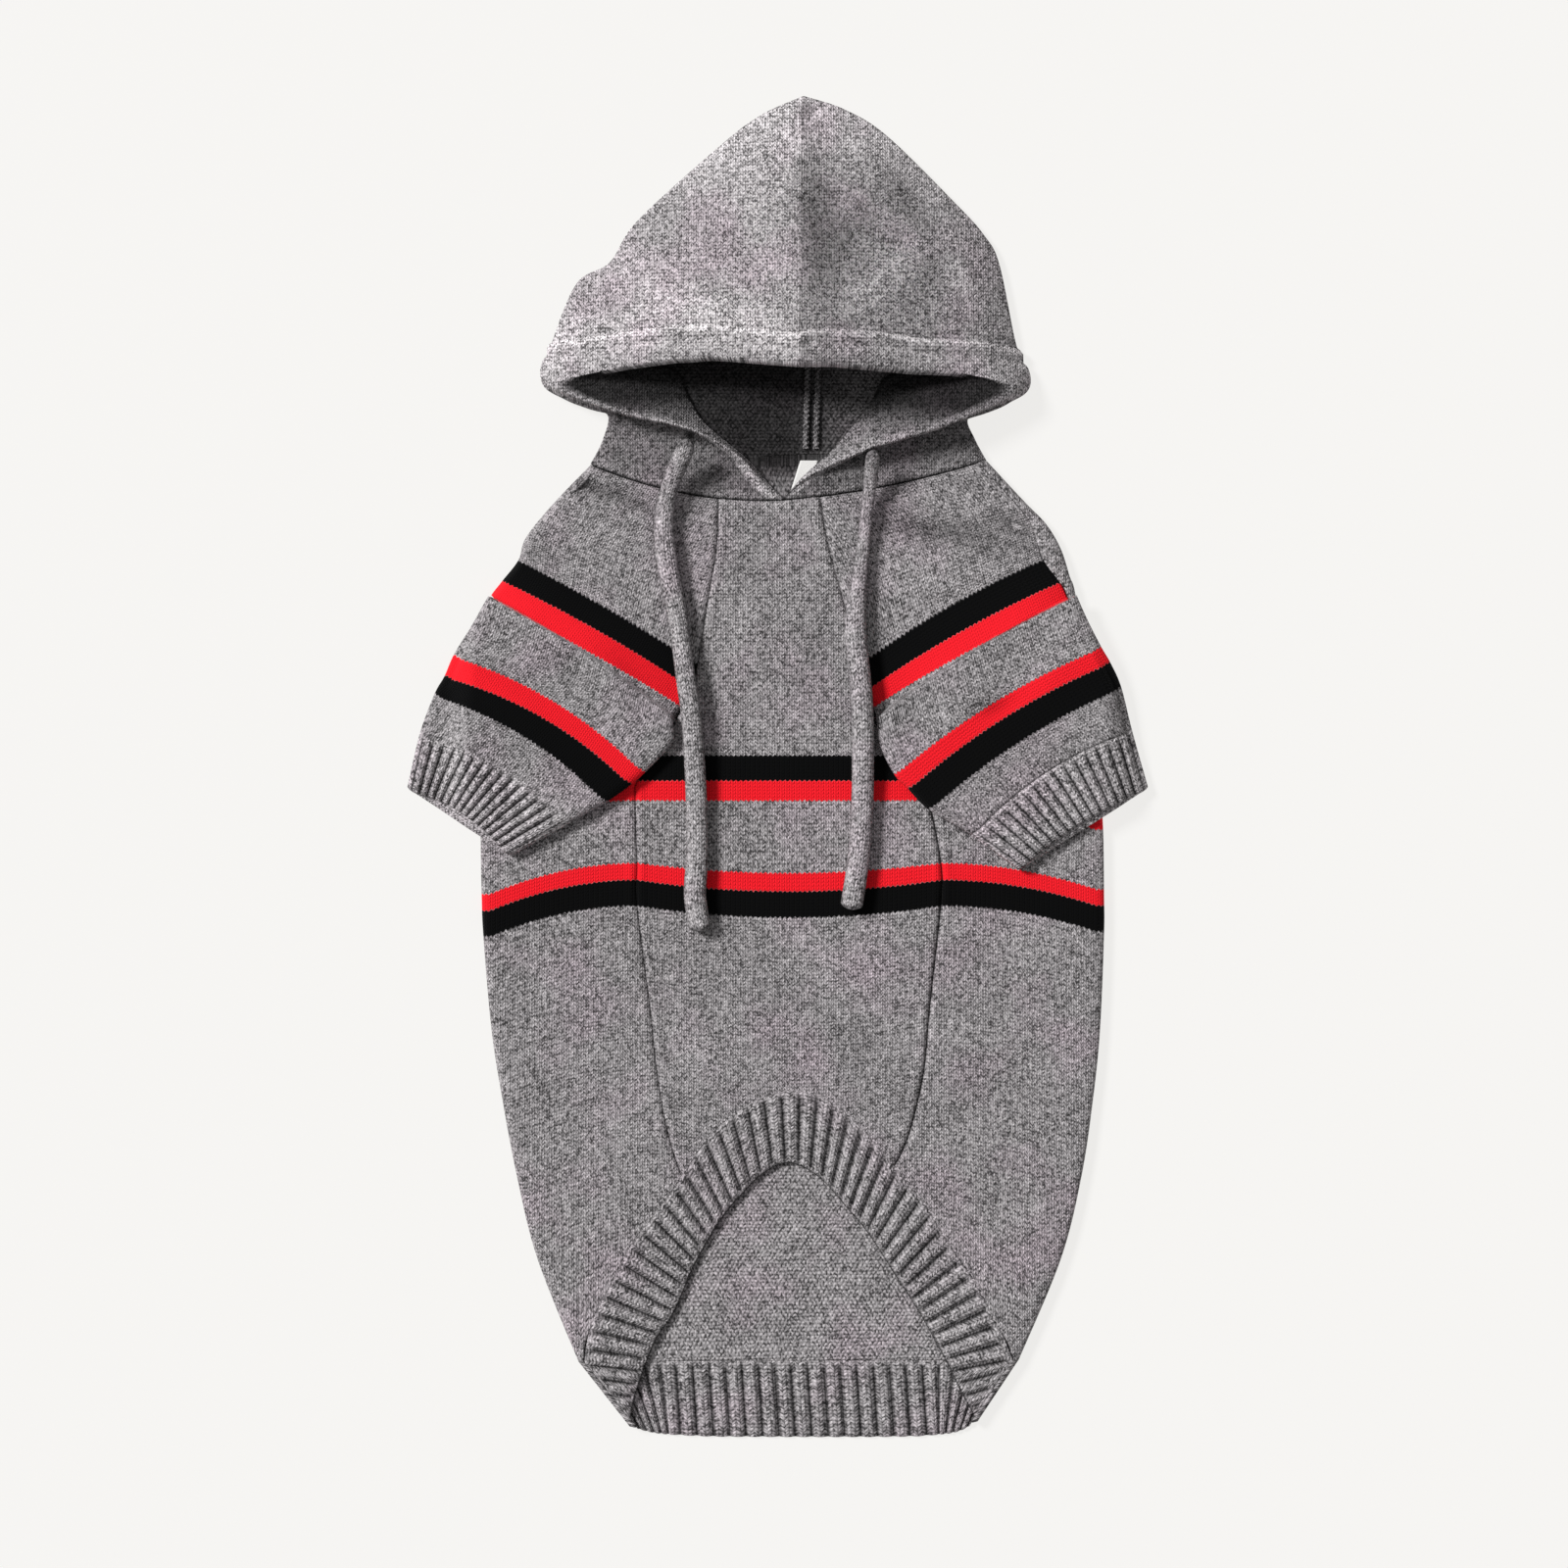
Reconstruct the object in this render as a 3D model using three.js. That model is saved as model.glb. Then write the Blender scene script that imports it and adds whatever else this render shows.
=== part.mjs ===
// Knitted dog sweater with a drawstring hood and short raglan sleeves, laid flat with its
// belly side up. Millimetres, +Z up, +Y toward the hood. Each cut piece is one closed wall.
import * as THREE from "three";

// Cloth
const WALL = 2.2;            // jersey
const HALF_SEAM = 0.2;       // each piece stops this far short of the line where it is sewn
const FOLD = 2.6;            // outside radius of the folded sides of the body and hood
const FRONT = 3.0;           // underside of the front layer, which lies on the back one
const RIB = 0.9;             // how far a knitted rib stands out of its wall
const CASING = 11;           // turned edge of the hood that holds the drawcord
const CASING_WALL = 4.4;     // the jersey doubled

// Sleeves, which are tubes folded flat and lie on the body
const SLEEVE_LOW = 5.7;      // underside of a sleeve where it lies on the front layer
const SLEEVE_HEIGHT = 4.9;   // two walls and the air between them
const SLEEVE_REACH = 4;      // how far in a sleeve's folded edge is rounded
const DRAPE_START = 4;       // a sleeve leaves the body's edge here
const DRAPE_END = 17;        // and reaches the floor here
const FIRST_TUBE_ROW = 5;    // row where a sleeve leaves the armhole
const CAP_ROW = 1.5;         // row where the sleeve's cap starts to rise toward the armhole
const CAP_FLAT = 0.25;       // share of the cap's width that comes down again at its outer edge
const CAP_LIP = 0.02;        // shares of the first two columns along the raglan seam

// Hood
const TENT_ROUND = 0.3;      // 0 is a straight roof from the side fold to the lip, 1 a round one
const NECK_STEEP = 12;       // how soon the hood is up to its height beside the fold at the neck
const CASING_SHARE = 0.45;   // most of a short row that the casing takes
const CASING_STITCH = 1.08;  // the wall is single again this far from the lip, in casings
const CASING_THIN = 1.6;     // how soon the casing thins out toward the throat
const FOLD_CROWD = 1.4;      // brings the hood's columns closer together at the fold
const TILT_STEP = 0.01;      // share of a row over which its slope is read

// Drawcords
const CORD_WIDTH = 8.4;
const CORD_THICK = 6;
const CORD_SIDES = 10;

// How finely the pieces are divided
const FOLD_STEPS = 4;
const STRIP_COLUMNS = 7;
const BACK_COLUMNS = 10;
const BELLY_COLUMNS = 24;
const SLEEVE_COLUMNS = 8;
const HOOD_UPPER = 7;
const HOOD_LOWER = 5;
const ARCH_SAMPLES = 400;
const COLUMNS_PER_RIB = 4;

// Body: each row crosses it, from the left fold over both belly seams to the right fold
// and stub is how much of the folded back shows on the right, outside the sleeve
const BODY = [
  { foldL: [-70.9, 114], seamL: [-22.4, 101], seamR: [16.1, 100.6], foldR: [79, 115.4], stub: 0.6 },
  { foldL: [-84.9, 99.5], seamL: [-23.1, 82.1], seamR: [19.4, 82.1], foldR: [93.4, 99.9], stub: 0.6 },
  { foldL: [-95.3, 86.6], seamL: [-25.7, 66.2], seamR: [23.9, 66.2], foldR: [101.6, 91.4], stub: 1.5 },
  { foldL: [-98.2, 78.1], seamL: [-30.2, 39.2], seamR: [31.3, 39.2], foldR: [107.1, 82.1], stub: 4 },
  { foldL: [-104.2, 70.3], seamL: [-32.4, 28.5], seamR: [34.2, 28.5], foldR: [110.4, 71.8], stub: 3.5 },
  { foldL: [-109, 64], seamL: [-38.3, 17.4], seamR: [36.4, 17.4], foldR: [112.7, 64.4], stub: 0.6 },
  { foldL: [-109.7, 30.3], seamL: [-46.4, 4.4], seamR: [45, 4.4], foldR: [118.2, 30.3], stub: 0.6 },
  { foldL: [-111.9, -6.7], seamL: [-53.2, -6], seamR: [53, -6], foldR: [121.5, -5.5], stub: 0.6 },
  { foldL: [-112.3, -22.9], seamL: [-53.8, -12.6], seamR: [57, -12.6], foldR: [123, -22.9], stub: 0.6 },
  { foldL: [-111.9, -48.8], seamL: [-53.1, -36.3], seamR: [61.6, -36.3], foldR: [123.4, -49.2], stub: 0.6 },
  { foldL: [-111.2, -64.8], seamL: [-53.1, -52.2], seamR: [61.6, -52.2], foldR: [123.4, -63.3], stub: 0.6 },
  { foldL: [-108.2, -99.2], seamL: [-48.3, -90], seamR: [57.5, -90], foldR: [121.9, -99.2], stub: 0.6 },
  { foldL: [-104.2, -125.1], seamL: [-45.7, -114], seamR: [55.3, -114], foldR: [119.3, -125.1], stub: 0.6 },
  { foldL: [-98.6, -154.7], seamL: [-42.8, -132], seamR: [51.5, -132], foldR: [114.9, -154.7], stub: 0.6 },
  { foldL: [-90.8, -186.1], seamL: [-39.5, -145], seamR: [47.6, -144], foldR: [107.1, -186.1], stub: 0.6 },
  { foldL: [-75.3, -225], seamL: [-36.1, -154.7], seamR: [43.8, -151], foldR: [91.2, -224.2], stub: 0.6 },
];
const ARMHOLE_ROW = 5;
const LEFT_STUB = 0.6;
const BACK_NECK = [12, 118];
const FRONT_NECK = [1.3, 100.4];
const NECK_BOW = { left: 4.2, right: 2.2 };

// The ribbed edge that frames the belly's arch, from the left corner over the top to the right
const ARCH_OUTER = [[-75.3, -225], [-70.1, -210.2], [-62.7, -195.4], [-54.9, -180.2],
  [-47.5, -170.6], [-36.1, -154.7], [-25, -138.8], [-9.8, -127.3], [5.4, -122.5],
  [19.1, -125.8], [32, -136.2], [43.8, -151], [54.6, -163.5], [63.8, -178.3],
  [75.3, -195.4], [82, -208.7], [91.2, -224.2]];
const ARCH_INNER = [[-56.1, -249.4], [-55, -241], [-51.6, -230.1], [-46.4, -216.8],
  [-39, -205.5], [-32.4, -189.8], [-22.8, -172.8], [-13.5, -161.3], [-5, -153.2],
  [4.6, -149.5], [16.1, -155.4], [26.5, -167], [34.5, -176.5], [43.1, -189.8],
  [53.8, -206.5], [63.8, -224.6], [69.4, -236.1], [75.7, -247.5]];
const HEM_LOW = [[-56.1, -249.4], [-46.4, -252], [-29.8, -253.1], [-12.4, -253.4],
  [43.1, -253.4], [60.5, -252.6], [69, -251.2], [75.7, -247.5]];
const ARCH_RIBS = 46;
const STRIP_START = 0.025;   // share of the arch's outer edge where the side strips start
const RIB_START = 0.006;     // share of the band's outer edge where its ribs start
const RIB_START_INNER = 0.014;
const SIDE_SHARES = [0.12, 0.5, 0.94, 1];   // where the band's edge is set along the hem's side
const HEM_INSET = 0.02;
const HEM_RIBS = 26;
const CUFF_RIBS = 14;

// Sleeves: each row runs from the raglan seam or the underarm fold to the outer fold
const SLEEVE_LEFT = [
  { inner: [-22.4, 101], outer: [-70.9, 114] },
  { inner: [-23.1, 82.1], outer: [-84.9, 99.5] },
  { inner: [-25.7, 66.2], outer: [-95.3, 86.6] },
  { inner: [-30.2, 39.2], outer: [-98.2, 78.1] },
  { inner: [-32.4, 28.5], outer: [-104.2, 70.3] },
  { inner: [-39, 18], outer: [-109, 64] },
  { inner: [-39.6, 9], outer: [-115.6, 52.5] },
  { inner: [-49.8, -2.2], outer: [-122.3, 42.2] },
  { inner: [-55.3, -7], outer: [-126, 34] },
  { inner: [-64.2, -13.3], outer: [-129.7, 27.4] },
  { inner: [-77.1, -20.7], outer: [-135.2, 12.6] },
  { inner: [-100.1, -33.7], outer: [-140, -7.8] },
];
const SLEEVE_RIGHT = [
  { inner: [16.1, 100.6], outer: [79, 115.4] },
  { inner: [19.4, 82.1], outer: [93.4, 99.9] },
  { inner: [23.9, 66.2], outer: [101.6, 91.4] },
  { inner: [31.3, 39.2], outer: [107.1, 82.1] },
  { inner: [34.2, 28.5], outer: [110.4, 71.8] },
  { inner: [37.2, 18], outer: [112.7, 64.4] },
  { inner: [38, 9], outer: [117.1, 54.4] },
  { inner: [43.8, -3], outer: [121.9, 45.1] },
  { inner: [49.4, -8.9], outer: [125.6, 38.9] },
  { inner: [56.8, -16.3], outer: [129.7, 30] },
  { inner: [72.7, -25.9], outer: [133.8, 14.1] },
  { inner: [90.5, -38.9], outer: [140, -7.8] },
];
const CUFF_ROW = 10;

// Hood: each row runs from the face opening over the side fold to the seam down its middle.
// lip is the face opening with its height, side the outline, back the seam under the hood
const HOOD_LEFT = [
  { lip: [1.3, 100.4, 5.2], side: [-70.9, 114], back: [12, 118] },
  { lip: [-6.5, 106.2, 9], side: [-66.4, 122.8], back: [12, 119.9] },
  { lip: [-15.4, 116.9, 11], side: [-64.2, 132.5], back: [12, 122.8] },
  { lip: [-33.5, 126.5, 14], side: [-71.6, 135.1], back: [11.7, 125.8] },
  { lip: [-60.9, 133.2, 15], side: [-80.8, 138.8], back: [11.3, 129.5] },
  { lip: [-83, 142.8, 13], side: [-89, 145], back: [10.9, 134.7] },
  { lip: [-64.2, 148.4, 18], side: [-85.7, 159.1], back: [10.5, 146.9] },
  { lip: [-42, 151.7, 23], side: [-73.4, 183.9], back: [10.2, 165.4] },
  { lip: [-23.5, 152.8, 27], side: [-53.1, 206.1], back: [9.8, 187.6] },
  { lip: [-6.8, 151.3, 29], side: [-23.5, 233.1], back: [9.8, 219] },
  { lip: [8, 149.8, 30], side: [9.8, 253.4], back: [9.8, 247] },
];
const HOOD_RIGHT = [
  { lip: [1.3, 100.4, 5.2], side: [79, 115.4], back: [12, 118] },
  { lip: [11.3, 108.8, 9], side: [74.6, 123.6], back: [12, 119.9] },
  { lip: [25.3, 115.4, 11], side: [72, 131.3], back: [12, 122.8] },
  { lip: [37.9, 120.2, 14], side: [80.1, 133.9], back: [11.7, 125.8] },
  { lip: [62.3, 127.6, 15], side: [87.5, 137.3], back: [11.3, 129.5] },
  { lip: [89, 141, 13], side: [95.3, 143.9], back: [10.9, 134.7] },
  { lip: [70.9, 146.9, 18], side: [90.1, 159.8], back: [10.5, 146.9] },
  { lip: [50.5, 148, 23], side: [83.8, 189.8], back: [10.2, 165.4] },
  { lip: [35.7, 149.1, 27], side: [67.2, 212.8], back: [9.8, 187.6] },
  { lip: [20.9, 150.2, 29], side: [41.3, 238.3], back: [9.8, 219] },
  { lip: [8, 149.8, 30], side: [9.8, 253.4], back: [9.8, 247] },
];

// Drawcord routes, from the eyelet down over the chest to the free end
const CORD_LEFT = [[-33.6, 122.5, 20], [-35, 118, 19.5], [-38, 111.5, 16], [-41, 103.5, 12.2],
  [-42.8, 93, 9.2], [-42.3, 82, 9], [-40.3, 69, 9.2], [-37.6, 56.2, 9.8], [-36, 44, 10.4],
  [-34.4, 32, 11.2], [-32.6, 20, 11.2], [-31.6, 7, 10], [-30.9, -6, 9], [-30.5, -20, 8.8],
  [-30.4, -35, 8.8], [-31.1, -49, 8.8], [-29, -62, 8.8]];
const CORD_RIGHT = [[36, 118.3, 19.8], [34.9, 114.6, 18.8], [34, 109, 15.5], [33.5, 101.6, 12],
  [32.4, 91, 9.2], [31, 79, 9], [30.5, 67, 9.2], [30.8, 53, 9.8], [31.2, 40, 10.4],
  [31.6, 28, 11.2], [32, 16, 11.2], [32.1, 3, 10], [32, -10, 9], [31.2, -27, 8.8],
  [29.6, -41, 8.8], [27.6, -54, 8.8]];

const LABEL = { top: 115.5, left: 8.6, right: 15.2, length: 10.8, lean: -5, thick: 0.4 };

// Plane points
const mix = (a, b, t) => a + (b - a) * t;
const mixPoint = (p, q, t) => [mix(p[0], q[0], t), mix(p[1], q[1], t)];
const span = (p, q) => Math.hypot(q[0] - p[0], q[1] - p[1]);
const toward = (p, q) => [(q[0] - p[0]) / span(p, q), (q[1] - p[1]) / span(p, q)];
const moved = (p, direction, distance) =>
  [p[0] + direction[0] * distance, p[1] + direction[1] * distance];
const steps = (count) => Array.from({ length: count + 1 }, (_, k) => k / count);

// A smooth plane curve through points, read by its share of the length
function curve(points) {
  const line = new THREE.CatmullRomCurve3(
    points.map(([x, y]) => new THREE.Vector3(x, y, 0)), false, "centripetal");
  return (t) => {
    const p = line.getPointAt(t);
    return [p.x, p.y];
  };
}

// A table row between two others, where every named column is mixed
function rowAt(table, position) {
  const at = Math.min(Math.floor(position), table.length - 2);
  const t = position - at;
  const row = {};
  for (const [name, value] of Object.entries(table[at])) {
    const next = table[at + 1][name];
    row[name] = Array.isArray(value) ? value.map((v, k) => mix(v, next[k], t)) : mix(value, next, t);
  }
  return row;
}

// A pair of points on the two faces of a flat stretch of wall
const flatPair = (p, low, wall = WALL, rib = 0) => ({
  inner: new THREE.Vector3(p[0], p[1], low),
  outer: new THREE.Vector3(p[0], p[1], low + wall + rib),
});

// Stretch of wall that lies face down, so that its outer face is the lower one
const underPair = (p, low, wall = WALL) => ({
  inner: new THREE.Vector3(p[0], p[1], low + wall),
  outer: new THREE.Vector3(p[0], p[1], low),
});

// Folded edge: pairs from the upper layer round to the lower one
function foldPairs(edge, inward, reach, low, height, wall, count) {
  return steps(count).map((t) => {
    const angle = Math.PI * (0.5 - t);
    const middle = low + height / 2;
    const outer = moved(edge, inward, reach - reach * Math.cos(angle));
    const inner = moved(edge, inward, reach - (reach - wall) * Math.cos(angle));
    return {
      inner: new THREE.Vector3(...inner, middle + (height / 2 - wall) * Math.sin(angle)),
      outer: new THREE.Vector3(...outer, middle + (height / 2) * Math.sin(angle)),
    };
  });
}

// Moves a pair on the border of a wall toward the next one
function pull(pair, next, distance) {
  for (const face of ["inner", "outer"]) {
    const step = next[face].clone().sub(pair[face]).setZ(0);
    pair[face].add(step.setLength(distance));
  }
}

// Draws the borders of a wall back from the lines where it is sewn
function drawBack(grid, { first = 0, last = 0, left = 0, right = 0 }) {
  const rows = grid.length;
  for (let j = 0; j < grid[0].length; j += 1) {
    if (first) pull(grid[0][j], grid[1][j], first);
    if (last) pull(grid[rows - 1][j], grid[rows - 2][j], last);
  }
  for (const row of grid) {
    if (left) pull(row[0], row[1], left);
    if (right) pull(row[row.length - 1], row[row.length - 2], right);
  }
  return grid;
}

// Closed wall from a grid of pairs. keep says which cells exist
function wall(name, grid, material, keep = () => true) {
  const rows = grid.length - 1;
  const columns = grid[0].length - 1;
  const positions = [];
  for (const row of grid) {
    for (const pair of row) positions.push(...pair.outer.toArray(), ...pair.inner.toArray());
  }
  const outer = (i, j) => 2 * (i * (columns + 1) + j);
  const inner = (i, j) => outer(i, j) + 1;
  const has = (i, j) => i >= 0 && j >= 0 && i < rows && j < columns && keep(i, j);
  const faces = [];
  const quad = (a, b, c, d) => faces.push(a, b, c, a, c, d);
  for (let i = 0; i < rows; i += 1) {
    for (let j = 0; j < columns; j += 1) {
      if (!has(i, j)) continue;
      quad(outer(i, j), outer(i + 1, j), outer(i + 1, j + 1), outer(i, j + 1));
      quad(inner(i, j), inner(i, j + 1), inner(i + 1, j + 1), inner(i + 1, j));
      if (!has(i - 1, j)) quad(outer(i, j), outer(i, j + 1), inner(i, j + 1), inner(i, j));
      if (!has(i + 1, j)) {
        quad(outer(i + 1, j + 1), outer(i + 1, j), inner(i + 1, j), inner(i + 1, j + 1));
      }
      if (!has(i, j - 1)) quad(outer(i + 1, j), outer(i, j), inner(i, j), inner(i + 1, j));
      if (!has(i, j + 1)) {
        quad(outer(i, j + 1), outer(i + 1, j + 1), inner(i + 1, j + 1), inner(i, j + 1));
      }
    }
  }
  return solid(name, positions, faces, material);
}

// Mesh with its faces turned outward and its unused vertices left out
function solid(name, positions, faces, material) {
  const point = (k) => new THREE.Vector3(...positions.slice(3 * k, 3 * k + 3));
  let volume = 0;
  for (let k = 0; k < faces.length; k += 3) {
    volume += point(faces[k]).dot(point(faces[k + 1]).cross(point(faces[k + 2])));
  }
  const turned = volume < 0 ? [...faces].reverse() : faces;
  const used = [...new Set(turned)];
  const place = new Map(used.map((old, fresh) => [old, fresh]));
  const geometry = new THREE.BufferGeometry();
  geometry.setAttribute("position",
    new THREE.Float32BufferAttribute(used.flatMap((k) => point(k).toArray()), 3));
  geometry.setIndex(turned.map((k) => place.get(k)));
  geometry.computeVertexNormals();
  const mesh = new THREE.Mesh(geometry, material);
  mesh.name = name;
  return mesh;
}

// Materials
const knit = (color) => new THREE.MeshStandardMaterial({ color, roughness: 0.95, metalness: 0 });
const MARL = knit(0x827f82);
const RIBBED = knit(0x777477);
const CORD = knit(0x868387);
const WHITE = knit(0xe6e4e2);

// Rib profile across a knitted rib: two columns high and two low
const ribHeight = (k) => (k % COLUMNS_PER_RIB < COLUMNS_PER_RIB / 2 ? RIB : 0);

// Front neck line between a side fold and the middle of the throat
function frontNeck(side, t) {
  const edge = side === "left" ? BODY[0].foldL : BODY[0].foldR;
  const p = mixPoint(edge, FRONT_NECK, t);
  return [p[0], p[1] - NECK_BOW[side] * 4 * t * (1 - t)];
}

// Front neck line at a given x
function neckAt(x) {
  const side = x < FRONT_NECK[0] ? "left" : "right";
  const edge = side === "left" ? BODY[0].foldL : BODY[0].foldR;
  return frontNeck(side, (x - edge[0]) / (FRONT_NECK[0] - edge[0]));
}

const archOuter = curve(ARCH_OUTER);
const archInner = curve(ARCH_INNER);

// Share of the arch's outer edge that lies nearest to a point
function archShare(target) {
  const shares = steps(ARCH_SAMPLES);
  return shares.reduce((best, t) =>
    (span(archOuter(t), target) < span(archOuter(best), target) ? t : best), 0);
}
const ARCH_LEFT = archShare(BODY.at(-1).seamL);
const ARCH_RIGHT = archShare(BODY.at(-1).seamR);

// Way in from a side fold: across the body, but square to the shoulder above the armhole
function foldWay(row, i, fold, seam) {
  if (i <= ARMHOLE_ROW) return toward(row[fold], row[seam]);
  return [Math.sign(row[seam][0] - row[fold][0]), 0];
}

// Back panel: the whole back, folded at both sides onto the front as far as the belly seams
function backPanel() {
  const grid = BODY.map((row, i) => {
    const last = i === BODY.length - 1;
    const leftWay = foldWay(row, i, "foldL", "seamL");
    const rightWay = foldWay(row, i, "foldR", "seamR");
    const leftEdge = moved(row.foldL, leftWay, FOLD);
    const rightEdge = moved(row.foldR, rightWay, FOLD);
    const shares = steps(STRIP_COLUMNS);
    const pairs = [];
    for (const t of [...shares].reverse()) {
      const near = moved(leftEdge, toward(leftEdge, row.seamL), LEFT_STUB);
      const p = last ? archOuter(mix(STRIP_START, ARCH_LEFT, t)) : mixPoint(near, row.seamL, t);
      pairs.push(flatPair(i === 0 ? neckAt(p[0]) : p, FRONT));
    }
    pairs.push(...foldPairs(row.foldL, leftWay, FOLD, 0, 2 * FOLD, WALL, FOLD_STEPS));
    for (const t of steps(BACK_COLUMNS).slice(1, -1)) {
      const x = mix(leftEdge[0], rightEdge[0], t);
      const y = i === 0 ? backNeck(x) : mix(leftEdge[1], rightEdge[1], t);
      pairs.push(underPair([x, y], 0));
    }
    pairs.push(...foldPairs(row.foldR, rightWay, FOLD, 0, 2 * FOLD, WALL, FOLD_STEPS).reverse());
    for (const t of shares) {
      const near = moved(rightEdge, toward(rightEdge, row.seamR), row.stub);
      const p = last ? archOuter(mix(1 - STRIP_START, ARCH_RIGHT, t)) : mixPoint(near, row.seamR, t);
      pairs.push(flatPair(i === 0 ? neckAt(p[0]) : p, FRONT));
    }
    return pairs;
  });
  const columns = grid[0].length - 1;
  drawBack(grid, { first: HALF_SEAM, last: HALF_SEAM, left: HALF_SEAM, right: HALF_SEAM });
  return wall("back_panel", grid, MARL, (i, j) =>
    i >= ARMHOLE_ROW || (j >= STRIP_COLUMNS && j < columns - STRIP_COLUMNS));
}

// Back neck seam at a given x: straight from each side fold to the middle of the nape
function backNeck(x) {
  const edge = x < BACK_NECK[0] ? BODY[0].foldL : BODY[0].foldR;
  return mix(edge[1], BACK_NECK[1], (x - edge[0]) / (BACK_NECK[0] - edge[0]));
}

// Belly panel: from the throat down to the top of the arch, between the raglan and belly seams
function bellyPanel() {
  const [top, bottom] = [BODY[0], BODY.at(-1)];
  const grid = BODY.map((row, i) => steps(BELLY_COLUMNS).map((t) => {
    const p = mixPoint(row.seamL, row.seamR, t);
    if (i === 0) return flatPair(neckAt(p[0]), FRONT);
    const arch = archOuter(mix(ARCH_LEFT, ARCH_RIGHT, t));
    if (row === bottom) return flatPair(arch, FRONT);
    const [high, low] = [mixPoint(top.seamL, top.seamR, t), mixPoint(bottom.seamL, bottom.seamR, t)];
    const share = (high[1] - p[1]) / (high[1] - low[1]);
    const neckDip = (neckAt(high[0])[1] - high[1]) * Math.max(0, 1 - 2 * share);
    const archRise = (arch[1] - low[1]) * share ** 3;
    return flatPair([p[0], p[1] + neckDip + archRise], FRONT);
  }));
  drawBack(grid, { first: HALF_SEAM, last: HALF_SEAM, left: HALF_SEAM, right: HALF_SEAM });
  return wall("belly_panel", grid, MARL);
}

// Ribbed band along the arch. Its ribs start from the arch's outer edge, and near the corners
// from the folded sides of the hem
function bellyArchRib() {
  const side = (low, high, inward) => SIDE_SHARES.map((t) =>
    moved(mixPoint(low, high, t), [inward, 0], FOLD + HALF_SEAM));
  const left = side(ARCH_INNER[0], ARCH_OUTER[0], 1);
  const right = side(ARCH_INNER.at(-1), ARCH_OUTER.at(-1), -1).reverse();
  const outerEdge = curve([...left, ...ARCH_OUTER.slice(1, -1), ...right]);
  const edges = [[outerEdge, RIB_START], [archInner, RIB_START_INNER]];
  const grid = edges.map(([edge, start]) => steps(COLUMNS_PER_RIB * ARCH_RIBS).map((t, k) =>
    flatPair(edge(mix(start, 1 - start, t)), FRONT, WALL, ribHeight(k))));
  drawBack(grid, { first: 2 * HALF_SEAM });
  return wall("belly_arch_rib", grid, RIBBED);
}

// Ribbed band of the back hem, whose inside face shows below the arch
function backHemRib() {
  const low = curve(HEM_LOW);
  const last = BODY.at(-1);
  const columns = COLUMNS_PER_RIB * HEM_RIBS;
  const grid = [0, 1].map((side) => {
    const left = side === 0 ? last.foldL : HEM_LOW[0];
    const right = side === 0 ? last.foldR : HEM_LOW.at(-1);
    const inside = steps(columns).slice(1, -1).map((t, k) => {
      const p = side === 0 ? mixPoint(moved(left, [1, 0], FOLD), moved(right, [-1, 0], FOLD), t)
        : low(mix(HEM_INSET, 1 - HEM_INSET, t));
      const pair = underPair(p, 0);
      pair.inner.z -= RIB - ribHeight(k);
      return pair;
    });
    return [...foldPairs(left, [1, 0], FOLD, 0, 2 * FOLD, WALL, FOLD_STEPS), ...inside,
      ...foldPairs(right, [-1, 0], FOLD, 0, 2 * FOLD, WALL, FOLD_STEPS).reverse()];
  });
  drawBack(grid, { first: HALF_SEAM });
  return wall("back_hem_rib", grid, RIBBED);
}

// Height of the underside of a sleeve, which drapes off the body's edge onto the floor
function sleeveFloor(point, side) {
  const fold = side === "left" ? "foldL" : "foldR";
  const row = BODY.find((r, i) => i > 0 && r[fold][1] <= point[1]) ?? BODY.at(-1);
  const above = BODY[BODY.indexOf(row) - 1];
  const t = Math.min(Math.max((above[fold][1] - point[1]) / (above[fold][1] - row[fold][1]), 0), 1);
  const edge = mix(above[fold][0], row[fold][0], t);
  const outside = side === "left" ? edge - point[0] : point[0] - edge;
  const share = Math.min(Math.max((outside - DRAPE_START) / (DRAPE_END - DRAPE_START), 0), 1);
  return SLEEVE_LOW * (1 - share * share * (3 - 2 * share));
}

// Folded edge of a sleeve
const sleeveFold = (edge, way, side, count) =>
  foldPairs(edge, way, SLEEVE_REACH, sleeveFloor(edge, side), SLEEVE_HEIGHT, WALL, count);

// Ring of a sleeve below the armhole or of a cuff: from the seam in the middle of the inner
// fold over the top, round the outer fold and back beneath. The ring stays open by a twelfth
// of the inner fold's turn, where its seam is
function tubeRing(row, side, columns, rib = () => 0) {
  const [inward, outward] = [toward(row.outer, row.inner), toward(row.inner, row.outer)];
  const start = moved(row.inner, outward, SLEEVE_REACH);
  const end = moved(row.outer, inward, SLEEVE_REACH);
  const upper = steps(columns).map((t, k) => {
    const p = mixPoint(start, end, t);
    return flatPair(p, sleeveFloor(p, side) + SLEEVE_HEIGHT - WALL, WALL, rib(k));
  });
  const lower = steps(SLEEVE_COLUMNS).map((t) => {
    const p = mixPoint(end, start, t);
    return underPair(p, sleeveFloor(p, side));
  });
  const innerFold = sleeveFold(row.inner, outward, side, FOLD_STEPS);
  const seamSide = sleeveFold(row.inner, outward, side, 3 * FOLD_STEPS);
  return [innerFold[2], innerFold[1], ...upper,
    ...sleeveFold(row.outer, inward, side, FOLD_STEPS).slice(1, -1), ...lower,
    seamSide[10], seamSide[8], seamSide[7]];
}

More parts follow.
